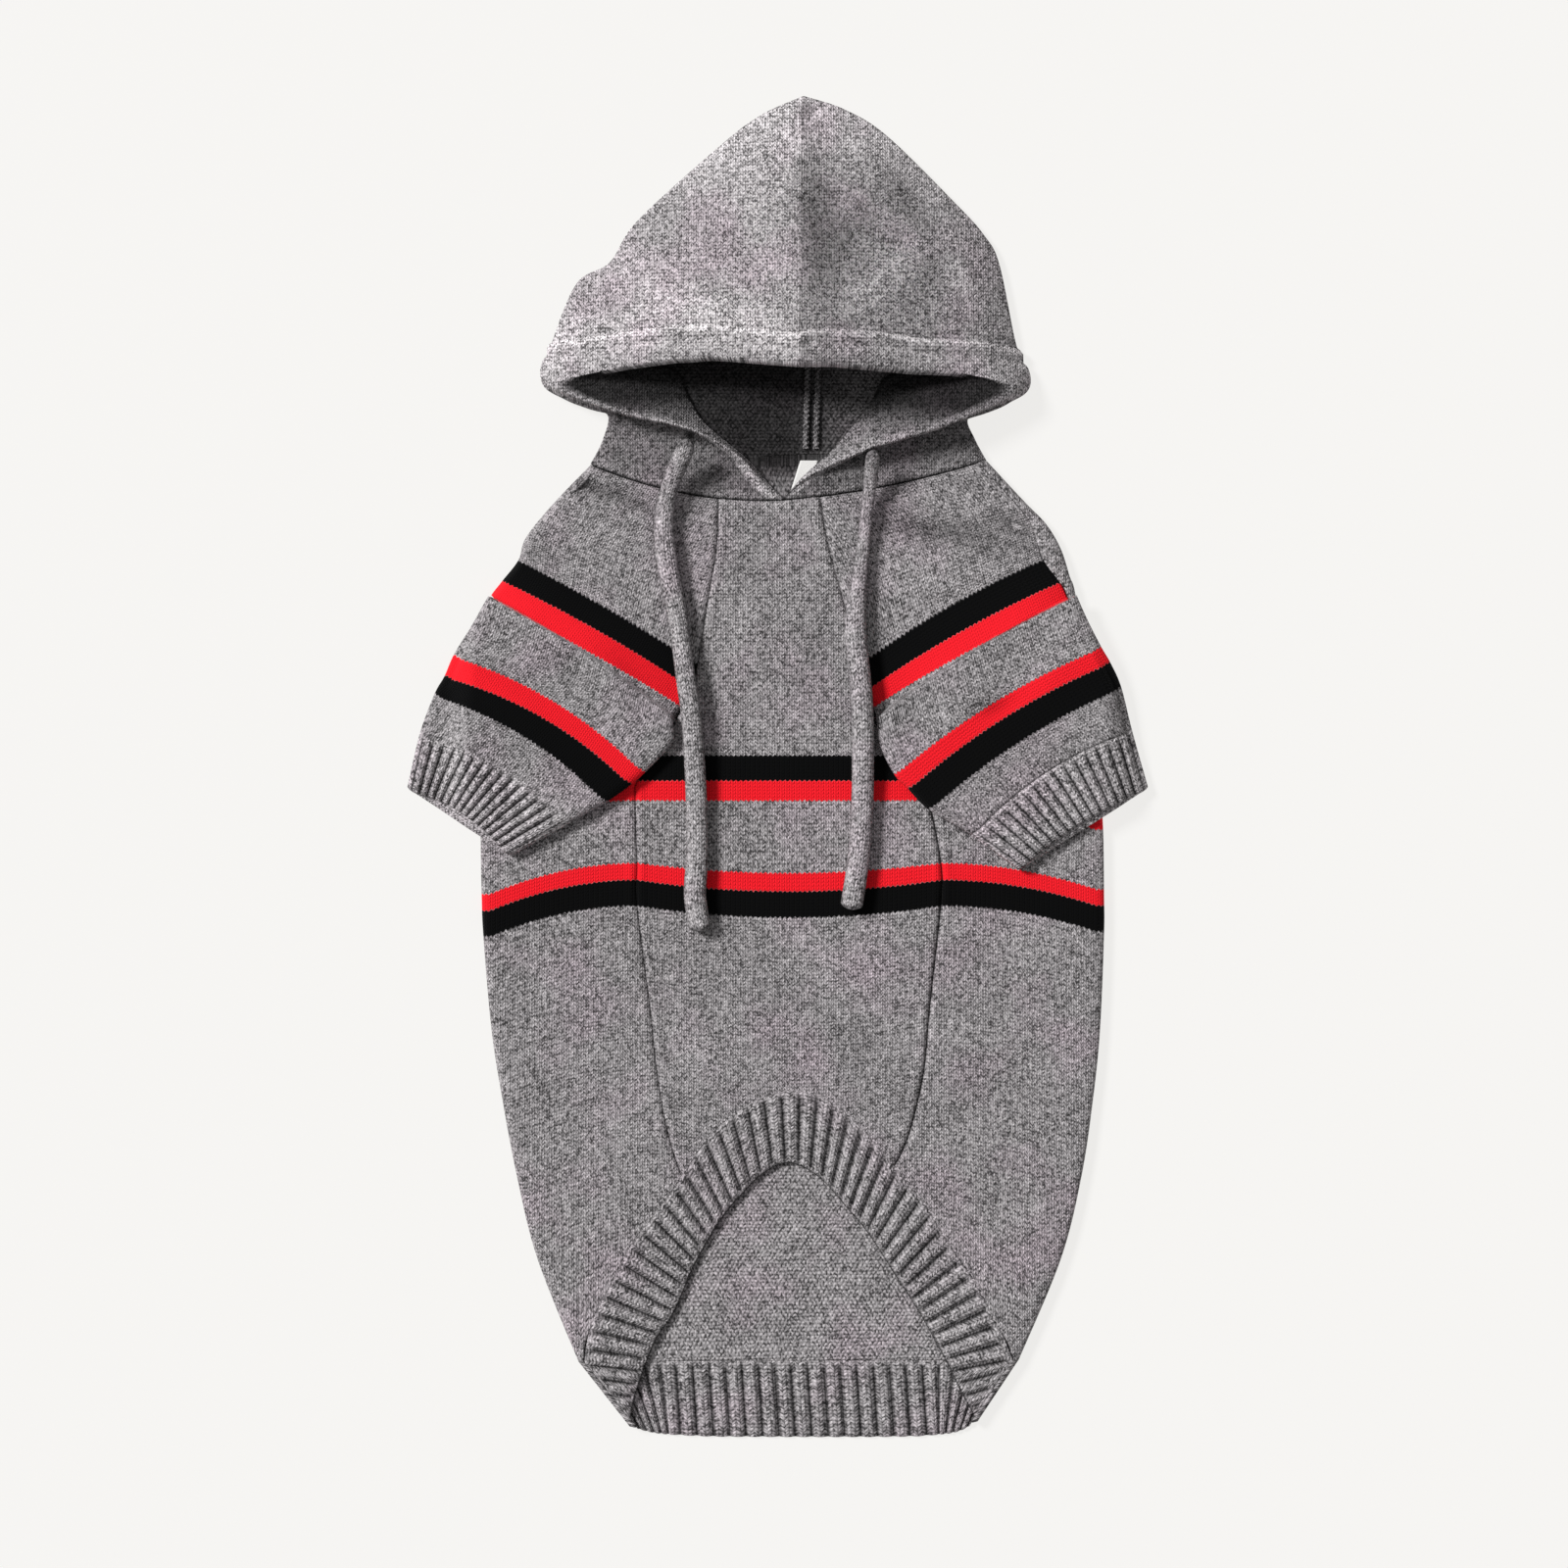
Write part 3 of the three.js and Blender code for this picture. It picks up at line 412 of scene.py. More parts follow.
def knit_material(name, stripes=(), wale=WALE, course=COURSE, light=1.0):
    """Jersey in marl yarn with bands of colour between the places that are given"""
    material, surface = surfaced(name, {"Roughness": 0.95, "Specular IOR Level": 0.05,
                                        "Sheen Weight": 0.03, "Sheen Roughness": 0.6})
    tree = material.node_tree
    start = Yarn(tree)
    place = start.node("ShaderNodeUVMap", {"uv_map": "knit"})
    split = start.node("ShaderNodeSeparateXYZ", None, {0: place})
    down = Yarn(tree, split.socket.node.outputs[1])
    across = split / wale
    along = down / course
    purl, painted_shade = (start.node("ShaderNodeAttribute", {"attribute_name": title}, output=2)
                  for title in ("purl", "painted_shade"))
    half = abs(across.math("FRACT") - 0.5) * 2
    slant = along - 0.6 * half
    bow = 1 - abs(half * 2 - 1) ** 2.2
    stitch = slant.arch() * bow
    shift = across + 0.5 * along.math("FLOOR").math("FLOORED_MODULO", 2)
    height = stitch + (shift.arch() * along.arch() - stitch) * purl

    cell = start.node("ShaderNodeCombineXYZ", None,
                      {0: (across * 3).math("FLOOR"), 1: (slant * 2).math("FLOOR")})
    ply = start.node("ShaderNodeTexWhiteNoise", {"noise_dimensions": "2D"}, {"Vector": cell})
    spot = start.node("ShaderNodeTexCoord", output=3)
    fibre, cloud, tint, streak = (
        start.node("ShaderNodeTexNoise", None,
                   {"Vector": spot, "Scale": scale, "Detail": detail, "Roughness": rough})
        for scale, detail, rough in NOISES)
    # the stitch height paints shade into the gaps between stitches; the noises are the marl's own light and
    # dark fibres, clouds and streaks
    tone = (-0.08 + 1.75 * ply + 0.95 * height + 2.9 * (fibre - 0.5) + 0.9 * (cloud - 0.5)
            + 1.8 * (streak - 0.5))
    tone = light * tone.math("MAXIMUM", 0.2)
    rosy = start.node("ShaderNodeClamp", None, {0: tint.math("MULTIPLY_ADD", 4.0, -1.9)})
    colour = rosy.mixed(GREY, ROSE).scaled(tone)
    edge = down - 0.5 * course * half + 0.9 * MM * (fibre - 0.5)
    for low, high, dye in stripes:
        inside = edge.rise(low) * (1 - edge.rise(high))
        # stripe colour, with painted shade in the gaps between stitches
        dyed_and_shaded = (0.5 + 0.9 * height).mixed(shaded_colour(dye, 0.6), dye)
        colour = inside.mixed(colour, dyed_and_shaded)
    # painted shade from the point attribute darkens the colour in seams, furrows, folds and the hood's
    # inside; below zero it paints highlight
    colour = colour.scaled(1 - 0.96 * painted_shade)
    tree.links.new(colour.socket, surface.inputs["Base Color"])
    relief = start.node("ShaderNodeBump", None, {"Strength": 0.6, "Distance": 0.5 * MM,
                                                 "Height": height + 0.35 * fibre + 0.25 * ply})
    tree.links.new(relief.socket, surface.inputs["Normal"])
    return material


def neck_at(x):
    """Front neck seam at given places across, bowed between each side fold and the throat"""
    halves = []
    for side in SIDES:
        edge = BODY[0, OUTSIDE[side]]
        t = (x - edge[0]) / (FRONT_NECK[0] - edge[0])
        line = mix(edge, FRONT_NECK, t[:, None])
        line[:, 1] -= NECK_BOW[side] * 4 * t * (1 - t)
        halves.append(line)
    return np.where((x < FRONT_NECK[0])[:, None], *halves)


def fold_arc(edge, inward, reach, low, height, wall, count=ARC):
    """Outer and inner points round a folded edge, from the upper layer to the lower one"""
    angle = np.linspace(math.pi / 2, -math.pi / 2, count)
    return [lifted(edge + np.outer(reach - (reach - thick) * np.cos(angle), inward),
                   low + height / 2 + (height / 2 - thick) * np.sin(angle)) for thick in (0, wall)]


def sewn(rings, first=0.0, left=0.0, right=0.0):
    """Grids from rows of points, with their borders drawn back from the lines where they are sewn"""
    grids = [np.array(grid) for grid in zip(*rings)]
    for grid in grids[:2]:
        for border, beside, by in ((grid[0], grid[1], first), (grid[:, 0], grid[:, 1], left),
                                   (grid[:, -1], grid[:, -2], right)):
            border += unit((beside - border) * (1, 1, 0)) * by
    return grids


def body_side(side, at, row):
    """Part of a row of the body from the belly seam over the side and round its fold"""
    fold, seam, sign = row[OUTSIDE[side]], row[INSIDE[side]], SIGN[side]
    inward = unit(mix(unit(seam - fold), np.array((sign, 0.0)), ease(at - ARMHOLE_ROW)))
    start = fold + inward * FOLD
    near = start + unit(seam - start) * (LEFT_FREE if side == "left" else row[8])
    t = crowded(STRIP)
    strip = mix(near, seam, t[:, None])
    last_start = BODY[-1, OUTSIDE[side]] + (sign * FOLD, 0)
    bent = arch_outer(mix(STRIP_START[side], ARCH_SEAM[side], t)) \
        - mix(last_start, BODY[-1, INSIDE[side]], t[:, None])
    strip = strip + bent * ease((at - LAST_ROW + BEND_ROWS) / BEND_ROWS)
    if at == 0:
        strip = neck_at(strip[:, 0])
    gap = np.linalg.norm(strip - strip[-1], axis=1)
    lift = uneven(strip) * ease(t * 6) * ease((1 - t) * 6)
    top = lifted(strip, FRONT + WALL + lift + seam_roll(gap, SUNK[side]))
    flatter = 1 - ease((at - ARMHOLE_ROW) / TUCKED_ROWS) if side == "left" else 0
    arc_out, arc_in = fold_arc(fold + inward * TUCKED * flatter, inward, FOLD, 0,
                               mix(2 * FOLD, TUCKED_HIGH, flatter), mix(WALL, TUCKED_WALL, flatter))
    droop = STRIPE_DROOP[side] * np.clip(gap / STRIP_WIDTH, 0, 1.2) ** 2
    strip_uv = np.column_stack([strip[:, 0], -(strip[:, 1] + droop)])
    arc_uv = np.column_stack([start[0] - sign * np.linspace(0, math.pi * FOLD, ARC),
                              np.full(ARC, -(start[1] + droop[0]))])
    # painted shade along the belly seam
    painted_shade = seam_shade(gap, depth=0.8 * SUNK[side])
    return [np.concatenate([upper[::-1], arc[1:]])
            for upper, arc in ((top, arc_out), (lifted(strip, FRONT + lift), arc_in),
                               (strip_uv, arc_uv), (painted_shade, np.zeros(ARC)))]


arch_outer = curve(ARCH_OUTER)
shares = np.linspace(0, 1, 801)
ARCH_SEAM = {side: shares[np.linalg.norm(arch_outer(shares) - BODY[-1, INSIDE[side]], axis=1).argmin()]
             for side in SIDES}
body_at = [FIRST_ROWS]
for k in range(LAST_ROW):
    count = max(2, math.ceil(np.linalg.norm(BODY[k + 1, 0:2] - BODY[k, 0:2]) / GRAIN))
    body_at.append(k + np.arange(1, count + 1) / count)
body_at = np.concatenate(body_at)
t = np.linspace(0, 1, ACROSS)[1:-1, None]
rings = []
for at, row in zip(body_at, catmull(BODY, body_at)):
    left, right = (body_side(side, at, row) for side in SIDES)
    bottom = mix(left[0][-1, :2], right[0][-1, :2], t)
    if at == 0:
        edge = BODY[0, np.where(bottom[:, :1] < BACK_NECK[0], (0, 1), (6, 7))]
        share = (bottom[:, 0] - edge[:, 0]) / (BACK_NECK[0] - edge[:, 0])
        bottom[:, 1] = mix(edge[:, 1], BACK_NECK[1], share)
    middle = (lifted(bottom, 0), lifted(bottom, WALL), mix(left[2][-1], right[2][-1], t), np.zeros(len(t)))
    rings.append([np.concatenate([a, b, c[::-1]]) for a, b, c in zip(left, middle, right)])
outer, inner, uv, painted_shade = sewn(rings, first=SEAM, left=SEAM, right=SEAM)
columns = np.arange(outer.shape[1] - 1)
on_strips = np.abs(columns - columns.mean()) > columns.mean() - STRIP + 1
keep = ~np.logical_and.outer(body_at[:-1] < ARMHOLE_ROW - TINY, on_strips)
# Courses where the bands of colour start and end, counted down from the origin
BODY_BANDS = ((-4.4 * MM, 5.2 * MM, BLACK), (5.2 * MM, 12.6 * MM, RED),
              (36.3 * MM, 42.6 * MM, RED), (42.6 * MM, 52.4 * MM, BLACK))
jersey_body = knit_material("jersey_body", BODY_BANDS)
# its inner face gets painted shade where it lies inside the hood
back_panel = shell("back_panel_knit", outer, inner, uv, painted_shade, hood_inside_shade(inner), keep)
dress(back_panel, "back_panel", jersey_body)


# Belly panel: the same jersey, from the throat to the arch, joined by the raglan seams above
# and the belly seams below. Its two bands of colour meet those of the sides.
BELLY_CREASES = ((-12, 92, 14, 90, -0.5, 4), (-20, 70, -6, 40, 0.4, 6), (22, 66, 12, 30, -0.5, 7),
                 (-38, -98, -20, -118, 0.5, 6), (40, -94, 26, -120, -0.5, 6),
                 (-30, -60, 10, -84, -0.35, 10), (0, -66, 44, -78, 0.35, 11))
BELLY_COLUMNS = 84
BELLY_SAG = 4.4 * MM
t = 0.5 - 0.5 * np.cos(np.linspace(0, math.pi, BELLY_COLUMNS))
t = mix(t, np.linspace(0, 1, BELLY_COLUMNS), 0.35)
top_line = mix(BODY[0, 2:4], BODY[0, 4:6], t[:, None])
low_line = mix(BODY[-1, 2:4], BODY[-1, 4:6], t[:, None])
neck = neck_at(top_line[:, 0])
arch = arch_outer(mix(ARCH_SEAM["left"], ARCH_SEAM["right"], t))
sunk = np.where(t < 0.5, SUNK["left"], SUNK["right"])
rings = []
for row in catmull(BODY, body_at):
    line = mix(row[2:4], row[4:6], t[:, None])
    share = (top_line[:, 1] - line[:, 1]) / (top_line[:, 1] - low_line[:, 1])
    place = line + (arch - low_line) * share[:, None] ** 3
    place[:, 1] += (neck - top_line)[:, 1] * np.clip(1 - 2 * share, 0, 1)
    gap = np.minimum(t, 1 - t) * np.linalg.norm(row[4:6] - row[2:4])
    from_neck = neck[:, 1] - place[:, 1]
    folds = creased(place, BELLY_CREASES)
    lift = uneven(place) * ease(gap / (12 * MM)) + seam_roll(gap, sunk) + seam_roll(from_neck, 0.5) + folds
    # painted shade along the belly seams and the neck seam, and painted shade and highlight on the soft
    # folds
    edges = np.maximum(seam_shade(gap, depth=0.8 * sunk), seam_shade(from_neck))
    sag = BELLY_SAG * ease((-place[:, 1] - 10 * MM) / (40 * MM)) * (1 - (2 * t - 1) ** 2)
    rings.append((lifted(place, FRONT + WALL + lift), lifted(place, FRONT),
                  np.column_stack([place[:, 0], -(place[:, 1] + sag)]), edges + fold_shade(folds)))
belly_panel = shell("belly_panel_knit", *sewn(rings, first=SEAM, left=SEAM, right=SEAM))
dress(belly_panel, "belly_panel", jersey_body)


# Ribbed edge of the arch: knitted on in one with the panels, two wales up and one down, so
# that it stands in soft ribs that fade into the jersey at its outer edge.
ARCH_INNER = np.array([
    (-56.1, -249.4), (-55, -241), (-51.6, -230.1), (-46.4, -216.8), (-39, -205.5),
    (-32.4, -189.8), (-22.8, -172.8), (-13.5, -161.3), (-5, -153.2), (4.6, -149.5),
    (16.1, -155.4), (26.5, -167), (34.5, -176.5), (43.1, -189.8), (53.8, -206.5),
    (63.8, -224.6), (69.4, -236.1), (75.7, -247.5)]) * MM
ARCH_RIBS = 46
RIB_COLUMNS = 8
RIB_HIGH = 1.3 * MM
RIB_START = 0.006
RIB_START_INSIDE = 0.014
RIB_FADE = 3 * MM


def rib_profile(count):
    """Heights across a row of ribs, broad and round above, and the painted shade down in the narrow grooves
    between them
    """
    phase = np.arange(count * RIB_COLUMNS + 1) / RIB_COLUMNS
    furrow = np.abs(np.cos(math.pi * (phase + 0.5)))
    return 1 - furrow ** 4, furrow ** 10


def rib_relief(ribs, fade, edge):
    """Height of ribs that fade into the jersey and roll off at the free edge of their band"""
    return RIB_HIGH * (mix(0.75, ribs, fade) - 0.75) - 0.8 * MM * bell(edge, 1.2 * MM)


ribs, furrow_shade = rib_profile(ARCH_RIBS)
t = np.linspace(0, 1, len(ribs))
inset = np.array((FOLD + 0.1 * MM, 0))
left_side, right_side = ([mix(ARCH_INNER[end], ARCH_OUTER[end], share) + way * inset
                          for share in (0.12, 0.5, 0.94, 1)] for end, way in ((0, 1), (-1, -1)))
band_edge = curve(np.concatenate([left_side, ARCH_OUTER[1:-1], right_side[::-1]]))
near = band_edge(mix(RIB_START, 1 - RIB_START, t))
far = curve(ARCH_INNER)(mix(RIB_START_INSIDE, 1 - RIB_START_INSIDE, t))
width = np.linalg.norm(far - near, axis=1)
run = run_along((near + far) / 2)
rings = []
for share in np.concatenate([np.linspace(0, 0.95, 17), (0.97, 0.985, 1)]):
    place = mix(near, far, share)
    edge = (1 - share) * width
    fade = ease(share * width / RIB_FADE) * ease(edge / (1.8 * MM))
    # painted shade in the furrows between ribs, and a painted shadow line along the band's free inner edge
    rings.append((lifted(place, FRONT + WALL + rib_relief(ribs, fade, edge)), lifted(place, FRONT),
                  np.column_stack([run / run[-1] * ARCH_RIBS * 2 * WALE, share * width]),
                  np.maximum(furrow_shade * fade, 0.85 * bell(edge, 0.45 * MM))))
jersey_rib = knit_material("jersey_rib", light=1.05)
belly_arch_rib = shell("belly_arch_rib_knit", *sewn(rings, first=0.02 * MM))
dress(belly_arch_rib, "belly_arch_rib", jersey_rib)


# Ribbed edge of the back hem: the same band run on round the back. Its inside shows below the
# arch, and its underside lies flat on the table.
HEM_LOW = np.array([(-56.1, -249.4), (-46.4, -252), (-29.8, -253.1), (-12.4, -253.4),
                    (43.1, -253.4), (60.5, -252.6), (69, -251.2), (75.7, -247.5)]) * MM
HEM_RIBS = 26
HEM_BAND = 28 * MM
# the ribs stand upright over this share of the hem's width, and lean outwards beyond it
HEM_UPRIGHT = 0.62
low_edge = curve(HEM_LOW)(np.linspace(0, 1, 200))
ribs, furrow_shade = (part[1:-1] for part in rib_profile(HEM_RIBS))
t = np.linspace(-1, 1, len(ribs) + 2)[1:-1]
half_top = (BODY[-1, 6] - BODY[-1, 0]) / 2 - FOLD
upright = HEM_UPRIGHT * half_top
rings = []
for share in np.linspace(0, 1, 21):
    left, right = (mix(BODY[-1, OUTSIDE[side]], HEM_LOW[end], share)
                   for side, end in (("left", 0), ("right", -1)))
    left_arc, right_arc = (fold_arc(edge, (way, 0), FOLD, 0, 2 * FOLD, WALL)
                           for edge, way in ((left, 1), (right, -1)))
    half_width = (right[0] - left[0]) / 2 - FOLD
    beyond = upright + (np.abs(t) - HEM_UPRIGHT) / (1 - HEM_UPRIGHT) * (half_width - upright)
    offset = np.sign(t) * np.where(np.abs(t) < HEM_UPRIGHT, np.abs(t) * half_top, beyond)
    x = (left[0] + right[0]) / 2 + offset
    place = np.column_stack([x, mix(BODY[-1, 1], np.interp(x, *low_edge.T), share)])
    fade = ease(share * HEM_BAND / RIB_FADE)
    lift = WALL + RIB_HIGH * 0.8 * (ribs - 1) * fade - 0.5 * MM * bell((1 - share) * HEM_BAND, 1.2 * MM)
    # painted shade in the furrows of the ribs, on top and round the folded sides
    side_furrow_shade = np.full(ARC, 0.8 * np.cos(math.pi * share * 8) ** 14)
    row = [np.concatenate([a, lifted(place, height), b[::-1]])
           for a, height, b in zip(left_arc, (0, lift), right_arc)]
    run = np.linspace(0, HEM_RIBS * 2 * WALE, len(row[0]))
    rings.append((*row, lifted(run, share * HEM_BAND),
                  np.concatenate([side_furrow_shade, 0 * furrow_shade, side_furrow_shade]), np.pad(furrow_shade * fade, ARC)))
back_hem_rib = shell("back_hem_rib_knit", *sewn(rings), purl=0)
dress(back_hem_rib, "back_hem_rib", jersey_rib)


# Sleeves: short raglan tubes of jersey, folded flat, that come out of the armholes and lie
# over the sides of the body. Their outer edges drape down onto the table.
SLEEVE_LOW = 5.7 * MM
SLEEVE_HEIGHT = 4.9 * MM
SLEEVE_REACH = 4 * MM
DRAPE_START = 4 * MM
DRAPE_END = 17 * MM
FIRST_TUBE_ROW = 5
CUFF_ROW = 10
CAP_ROW = 1.5
CAP_FLAT = 0.25
ARMHOLE_DIP = {"left": 5.2 * MM, "right": 4.2 * MM}
DIP_WIDTH = 60 * MM
DIP_ROWS = 0.75
HAIR = 0.1 * MM
# distance down from the neck seam for each of the cap's first rows
CAP_LONG = 19 * MM
SLEEVE_TOP = 56
SLEEVE_UNDER = 26
SLEEVE_ARC = 13
LEAD = SLEEVE_ARC // 2
CUFF_RIBS = 14
CUFF_BAND = 21 * MM
CAP_BOWS = {"left": (0, 0, 0.5, 1.0, 1.8), "right": (0, 0, 0.5, 2.2, 2.2)}
# inner and outer ends of each row below the cap, and how far its middle bows up toward the neck
SLEEVE_ROWS = {
    "left": [
        (-39, 18, -109, 64, 1.8), (-39.6, 9, -115.6, 52.5, 3), (-49.8, -2.2, -122.3, 42.2, 4.6),
        (-55.3, -7, -126, 34, 4.6), (-64.2, -13.3, -129.7, 27.4, 4.2),
        (-77.1, -20.7, -135.2, 12.6, 4.2), (-100.1, -33.7, -140, -7.8, 3.2)],
    "right": [
        (37.2, 18, 112.7, 64.4, 2.2), (38, 9, 117.1, 54.4, 2.6), (43.8, -3, 121.9, 45.1, 3.2),
        (49.4, -8.9, 125.6, 38.9, 3.2), (56.8, -16.3, 129.7, 30, 3), (72.7, -25.9, 133.8, 14.1, 4),
        (90.5, -38.9, 140, -7.8, 2.2)],
}
SLEEVES = {side: np.vstack([
    np.column_stack([BODY[:5, INSIDE[side]], BODY[:5, OUTSIDE[side]], np.array(CAP_BOWS[side]) * MM]),
    np.array(SLEEVE_ROWS[side]) * MM]) for side in SIDES}
SLEEVE_CREASES = (
    (-88, 111, -42, 96, -2.6, 2.8), (-84, 94, -60, 86, 0.7, 5), (-96, 62, -66, 44, 0.6, 7),
    (-60, 40, -47, 14, -0.7, 6), (-112, 30, -92, 10, 0.5, 6), (-88, 40, -70, 30, -0.4, 5),
    (80, 96, 98, 87, -2.4, 3.0), (70, 100, 88, 93, 0.8, 3), (36, 92, 96, 83, -1.9, 4.5),
    (46, 72, 84, 72, 0.5, 7),
    (76, 20, 88, 24, -1.2, 3.5), (60, 14, 74, 30, 0.6, 5), (46, 30, 52, 8, -0.6, 6),
    (106, 44, 92, 16, 0.5, 7))


def sleeve_floor(place, side):
    """Height of the underside of a sleeve above the table"""
    place = np.atleast_2d(place)
    fold = BODY[::-1, OUTSIDE[side]]
    outside = (np.interp(place[:, 1], fold[:, 1], fold[:, 0]) - place[:, 0]) * SIGN[side]
    return SLEEVE_LOW * (1 - ease((outside - DRAPE_START) / (DRAPE_END - DRAPE_START)))


def sleeve_line(row, side, share, before, behind):
    """Points along a row of a sleeve, bowed up toward the neck, and the way in from its outer end"""
    inner_end, outer_end, bow = row[0:2], row[2:4], row[4]
    inward = unit(inner_end - outer_end)
    up = np.array((-inward[1], inward[0])) * SIGN[side]
    line = mix(inner_end - inward * before, outer_end + inward * behind, share[:, None])
    return line + up * (bow * 4 * share * (1 - share))[:, None], inward


def tube_rings(row, side, columns, raised=0):
    """Outer and inner rings of a sleeve: over the top, round the outer fold and back beneath"""
    place, inward = sleeve_line(row, side, np.linspace(0, 1, columns), SLEEVE_REACH, SLEEVE_REACH)
    under = mix(place[-1], place[0], np.linspace(0, 1, SLEEVE_UNDER)[:, None])
    outer_arcs, seam_arcs = (
        fold_arc(edge, way, SLEEVE_REACH, sleeve_floor(edge, side)[0], SLEEVE_HEIGHT, WALL, SLEEVE_ARC)
        for edge, way in ((row[2:4], inward), (row[0:2], -inward)))
    heights = (SLEEVE_HEIGHT + raised, SLEEVE_HEIGHT - WALL)
    return [np.concatenate([
        seam_arc[LEAD:0:-1], lifted(place, sleeve_floor(place, side) + height), outer_arc[1:-1],
        lifted(under, sleeve_floor(under, side) + low), seam_arc[-2:LEAD + 1:-1],
        seam_arc[LEAD + 1:LEAD + 2] - (0, 0, HAIR)])
        for outer_arc, seam_arc, height, low in zip(outer_arcs, seam_arcs, heights, (0, WALL))]


def cap_rings(row, side, at):
    """Rings of the cap, level with the belly panel along the raglan seam, and their painted shade"""
    out, ins = tube_rings(row, side, SLEEVE_TOP)
    free = HAIR if side == "left" else FOLD + SEAM * 2 + catmull(BODY, at)[0, 8]
    share = np.concatenate([np.linspace(0, 0.03, 6), mix(0.036, 1, crowded(SLEEVE_TOP))])
    place, _ = sleeve_line(row, side, share, 0, free)
    level = mix(SLEEVES[side][0, 0:2], SLEEVES[side][0, 2:4], share[:, None])
    place[:, 1] += (neck_at(level[:, 0]) - level)[:, 1] * (1 - ease(at))
    rise = max((at - CAP_ROW) / (FIRST_TUBE_ROW - CAP_ROW), 0) ** 1.5
    top = SLEEVE_LOW + SLEEVE_HEIGHT - WALL
    crown = mix(FRONT, top, rise * np.sin(math.pi * np.minimum(share, 0.5)))
    low = mix(crown, FRONT, np.clip((share - 1 + CAP_FLAT) / CAP_FLAT, 0, 1) ** 2)
    gap = np.linalg.norm(place - place[0], axis=1)
    folds = creased(place, SLEEVE_CREASES)
    high = low + WALL + seam_roll(gap, 0.7) + seam_roll(at * CAP_LONG) + folds
    if side == "left":
        turn = np.sqrt(1 - (1 - np.clip((gap[-1] - gap) / (3 * MM), 0, 1)) ** 2)
        high = mix(0.9 * MM, high, turn)
        low = np.maximum(np.minimum(low, high - 1.3 * MM), 0.2 * MM)
    # painted shade along the raglan seam, along the seam beside the right cap and along the neck seam
    edges = np.maximum(seam_shade(gap, depth=0.55), seam_shade(gap[-1] - gap) * (side == "right"))
    edges = np.maximum(edges, seam_shade(at * CAP_LONG, 0.8 * MM, 0.95))
    count = len(share)
    out[:count] = lifted(place, high)
    ins[:count] = lifted(place, low)
    return out, ins, np.pad(edges + fold_shade(folds), (0, len(out) - count))


def course_runs(table):
    """Distance down the middle of a sleeve at each row of its table"""
    middle = (table[:, 0:2] + table[:, 2:4]) / 2
    way = unit(table[:, 2:4] - table[:, 0:2])
    square = np.stack([way[:, 1], -way[:, 0]], 1)
    step = np.abs(np.einsum("ij,ij->i", np.diff(middle, axis=0), (square[1:] + square[:-1]) / 2))
    return np.concatenate([[0], np.cumsum(step)])


for side, rows in SLEEVES.items():
    runs = course_runs(rows)
    places = np.concatenate([FIRST_ROWS, np.arange(0.125, 3, 0.125), np.arange(3, 5, 0.1),
                             np.arange(5, 10.01, 0.125)])
    rings = []
    for at, row in zip(places, catmull(rows, places)):
        if at < FIRST_TUBE_ROW - TINY:
            out, ins, dark = cap_rings(row, side, at)
        else:
            out, ins = tube_rings(row, side, SLEEVE_TOP)
            over = slice(LEAD, LEAD + SLEEVE_TOP)
            folds = creased(out[over, :2], SLEEVE_CREASES) * ease((CUFF_ROW - at) / 2)
            out[over, 2] += folds
            dark = np.zeros(len(out))
            dark[over] = fold_shade(folds)
        run = run_along(out)
        beside = np.clip(1 - (run - run[LEAD]) / DIP_WIDTH, 0, 1) ** 1.5
        dip = ARMHOLE_DIP[side] * beside * bell(at - FIRST_TUBE_ROW, DIP_ROWS)
        course = np.interp(at, np.arange(len(runs)), runs)
        rings.append((out, ins, np.column_stack([run - run[LEAD + SLEEVE_TOP // 2], course + dip]), dark))
    outer, inner, uv, painted_shade = sewn(rings, first=SEAM)
    beneath = np.arange(outer.shape[1] - 1) >= LEAD - 1 + SLEEVE_TOP
    keep = ~np.logical_and.outer(places[:-1] < FIRST_TUBE_ROW - TINY, beneath)
    bands = ((runs[3], runs[4], BLACK), (runs[4], runs[5] - 0.7 * MM, RED),
             (runs[7] - 0.3 * MM, runs[8] - 0.9 * MM, RED), (runs[8] - 0.9 * MM, runs[9] - 0.3 * MM, BLACK))
    jersey_sleeve = knit_material(f"jersey_sleeve_{side}", bands)
    sleeve = shell(f"sleeve_{side}_knit", outer, inner, uv, painted_shade, keep=keep)
    dress(sleeve, f"sleeve_{side}", jersey_sleeve)

    # Cuff: knitted on in one with the sleeve, in the same rib as the arch
    ribs, furrow_shade = rib_profile(CUFF_RIBS)
    rings = []
    for share in np.linspace(0, 1, 15):
        fade = ease(share * CUFF_BAND / RIB_FADE)
        raised = rib_relief(ribs, fade, (1 - share) * CUFF_BAND)
        out, ins = tube_rings(catmull(rows, CUFF_ROW + share)[0], side, len(ribs), raised)
        dark = np.zeros(len(out))
        # painted shade in the furrows of the ribs and down the cuff's two folded sides
        dark[LEAD:LEAD + len(ribs)] = furrow_shade * fade
        dark[[LEAD - 2, LEAD + 1 + len(ribs)]] = 0.9 * fade
        run = run_along(out[:, :2])
        run = (run - run[LEAD]) / (run[LEAD - 1 + len(ribs)] - run[LEAD]) * CUFF_RIBS * 2 * WALE
        rings.append((out, ins, lifted(run, share * CUFF_BAND), dark))
    cuff = shell(f"cuff_{side}_knit", *sewn(rings))
    dress(cuff, f"cuff_{side}", knit_material(f"cuff_rib_{side}", light=1.3))


# Hood: two halves of jersey joined by a seam from the forehead over the crown to the nape. The
# edge round the face is turned in and stitched down as a casing for the drawcord.
CASING = 11 * MM
LIP_DROP = 3.4 * MM
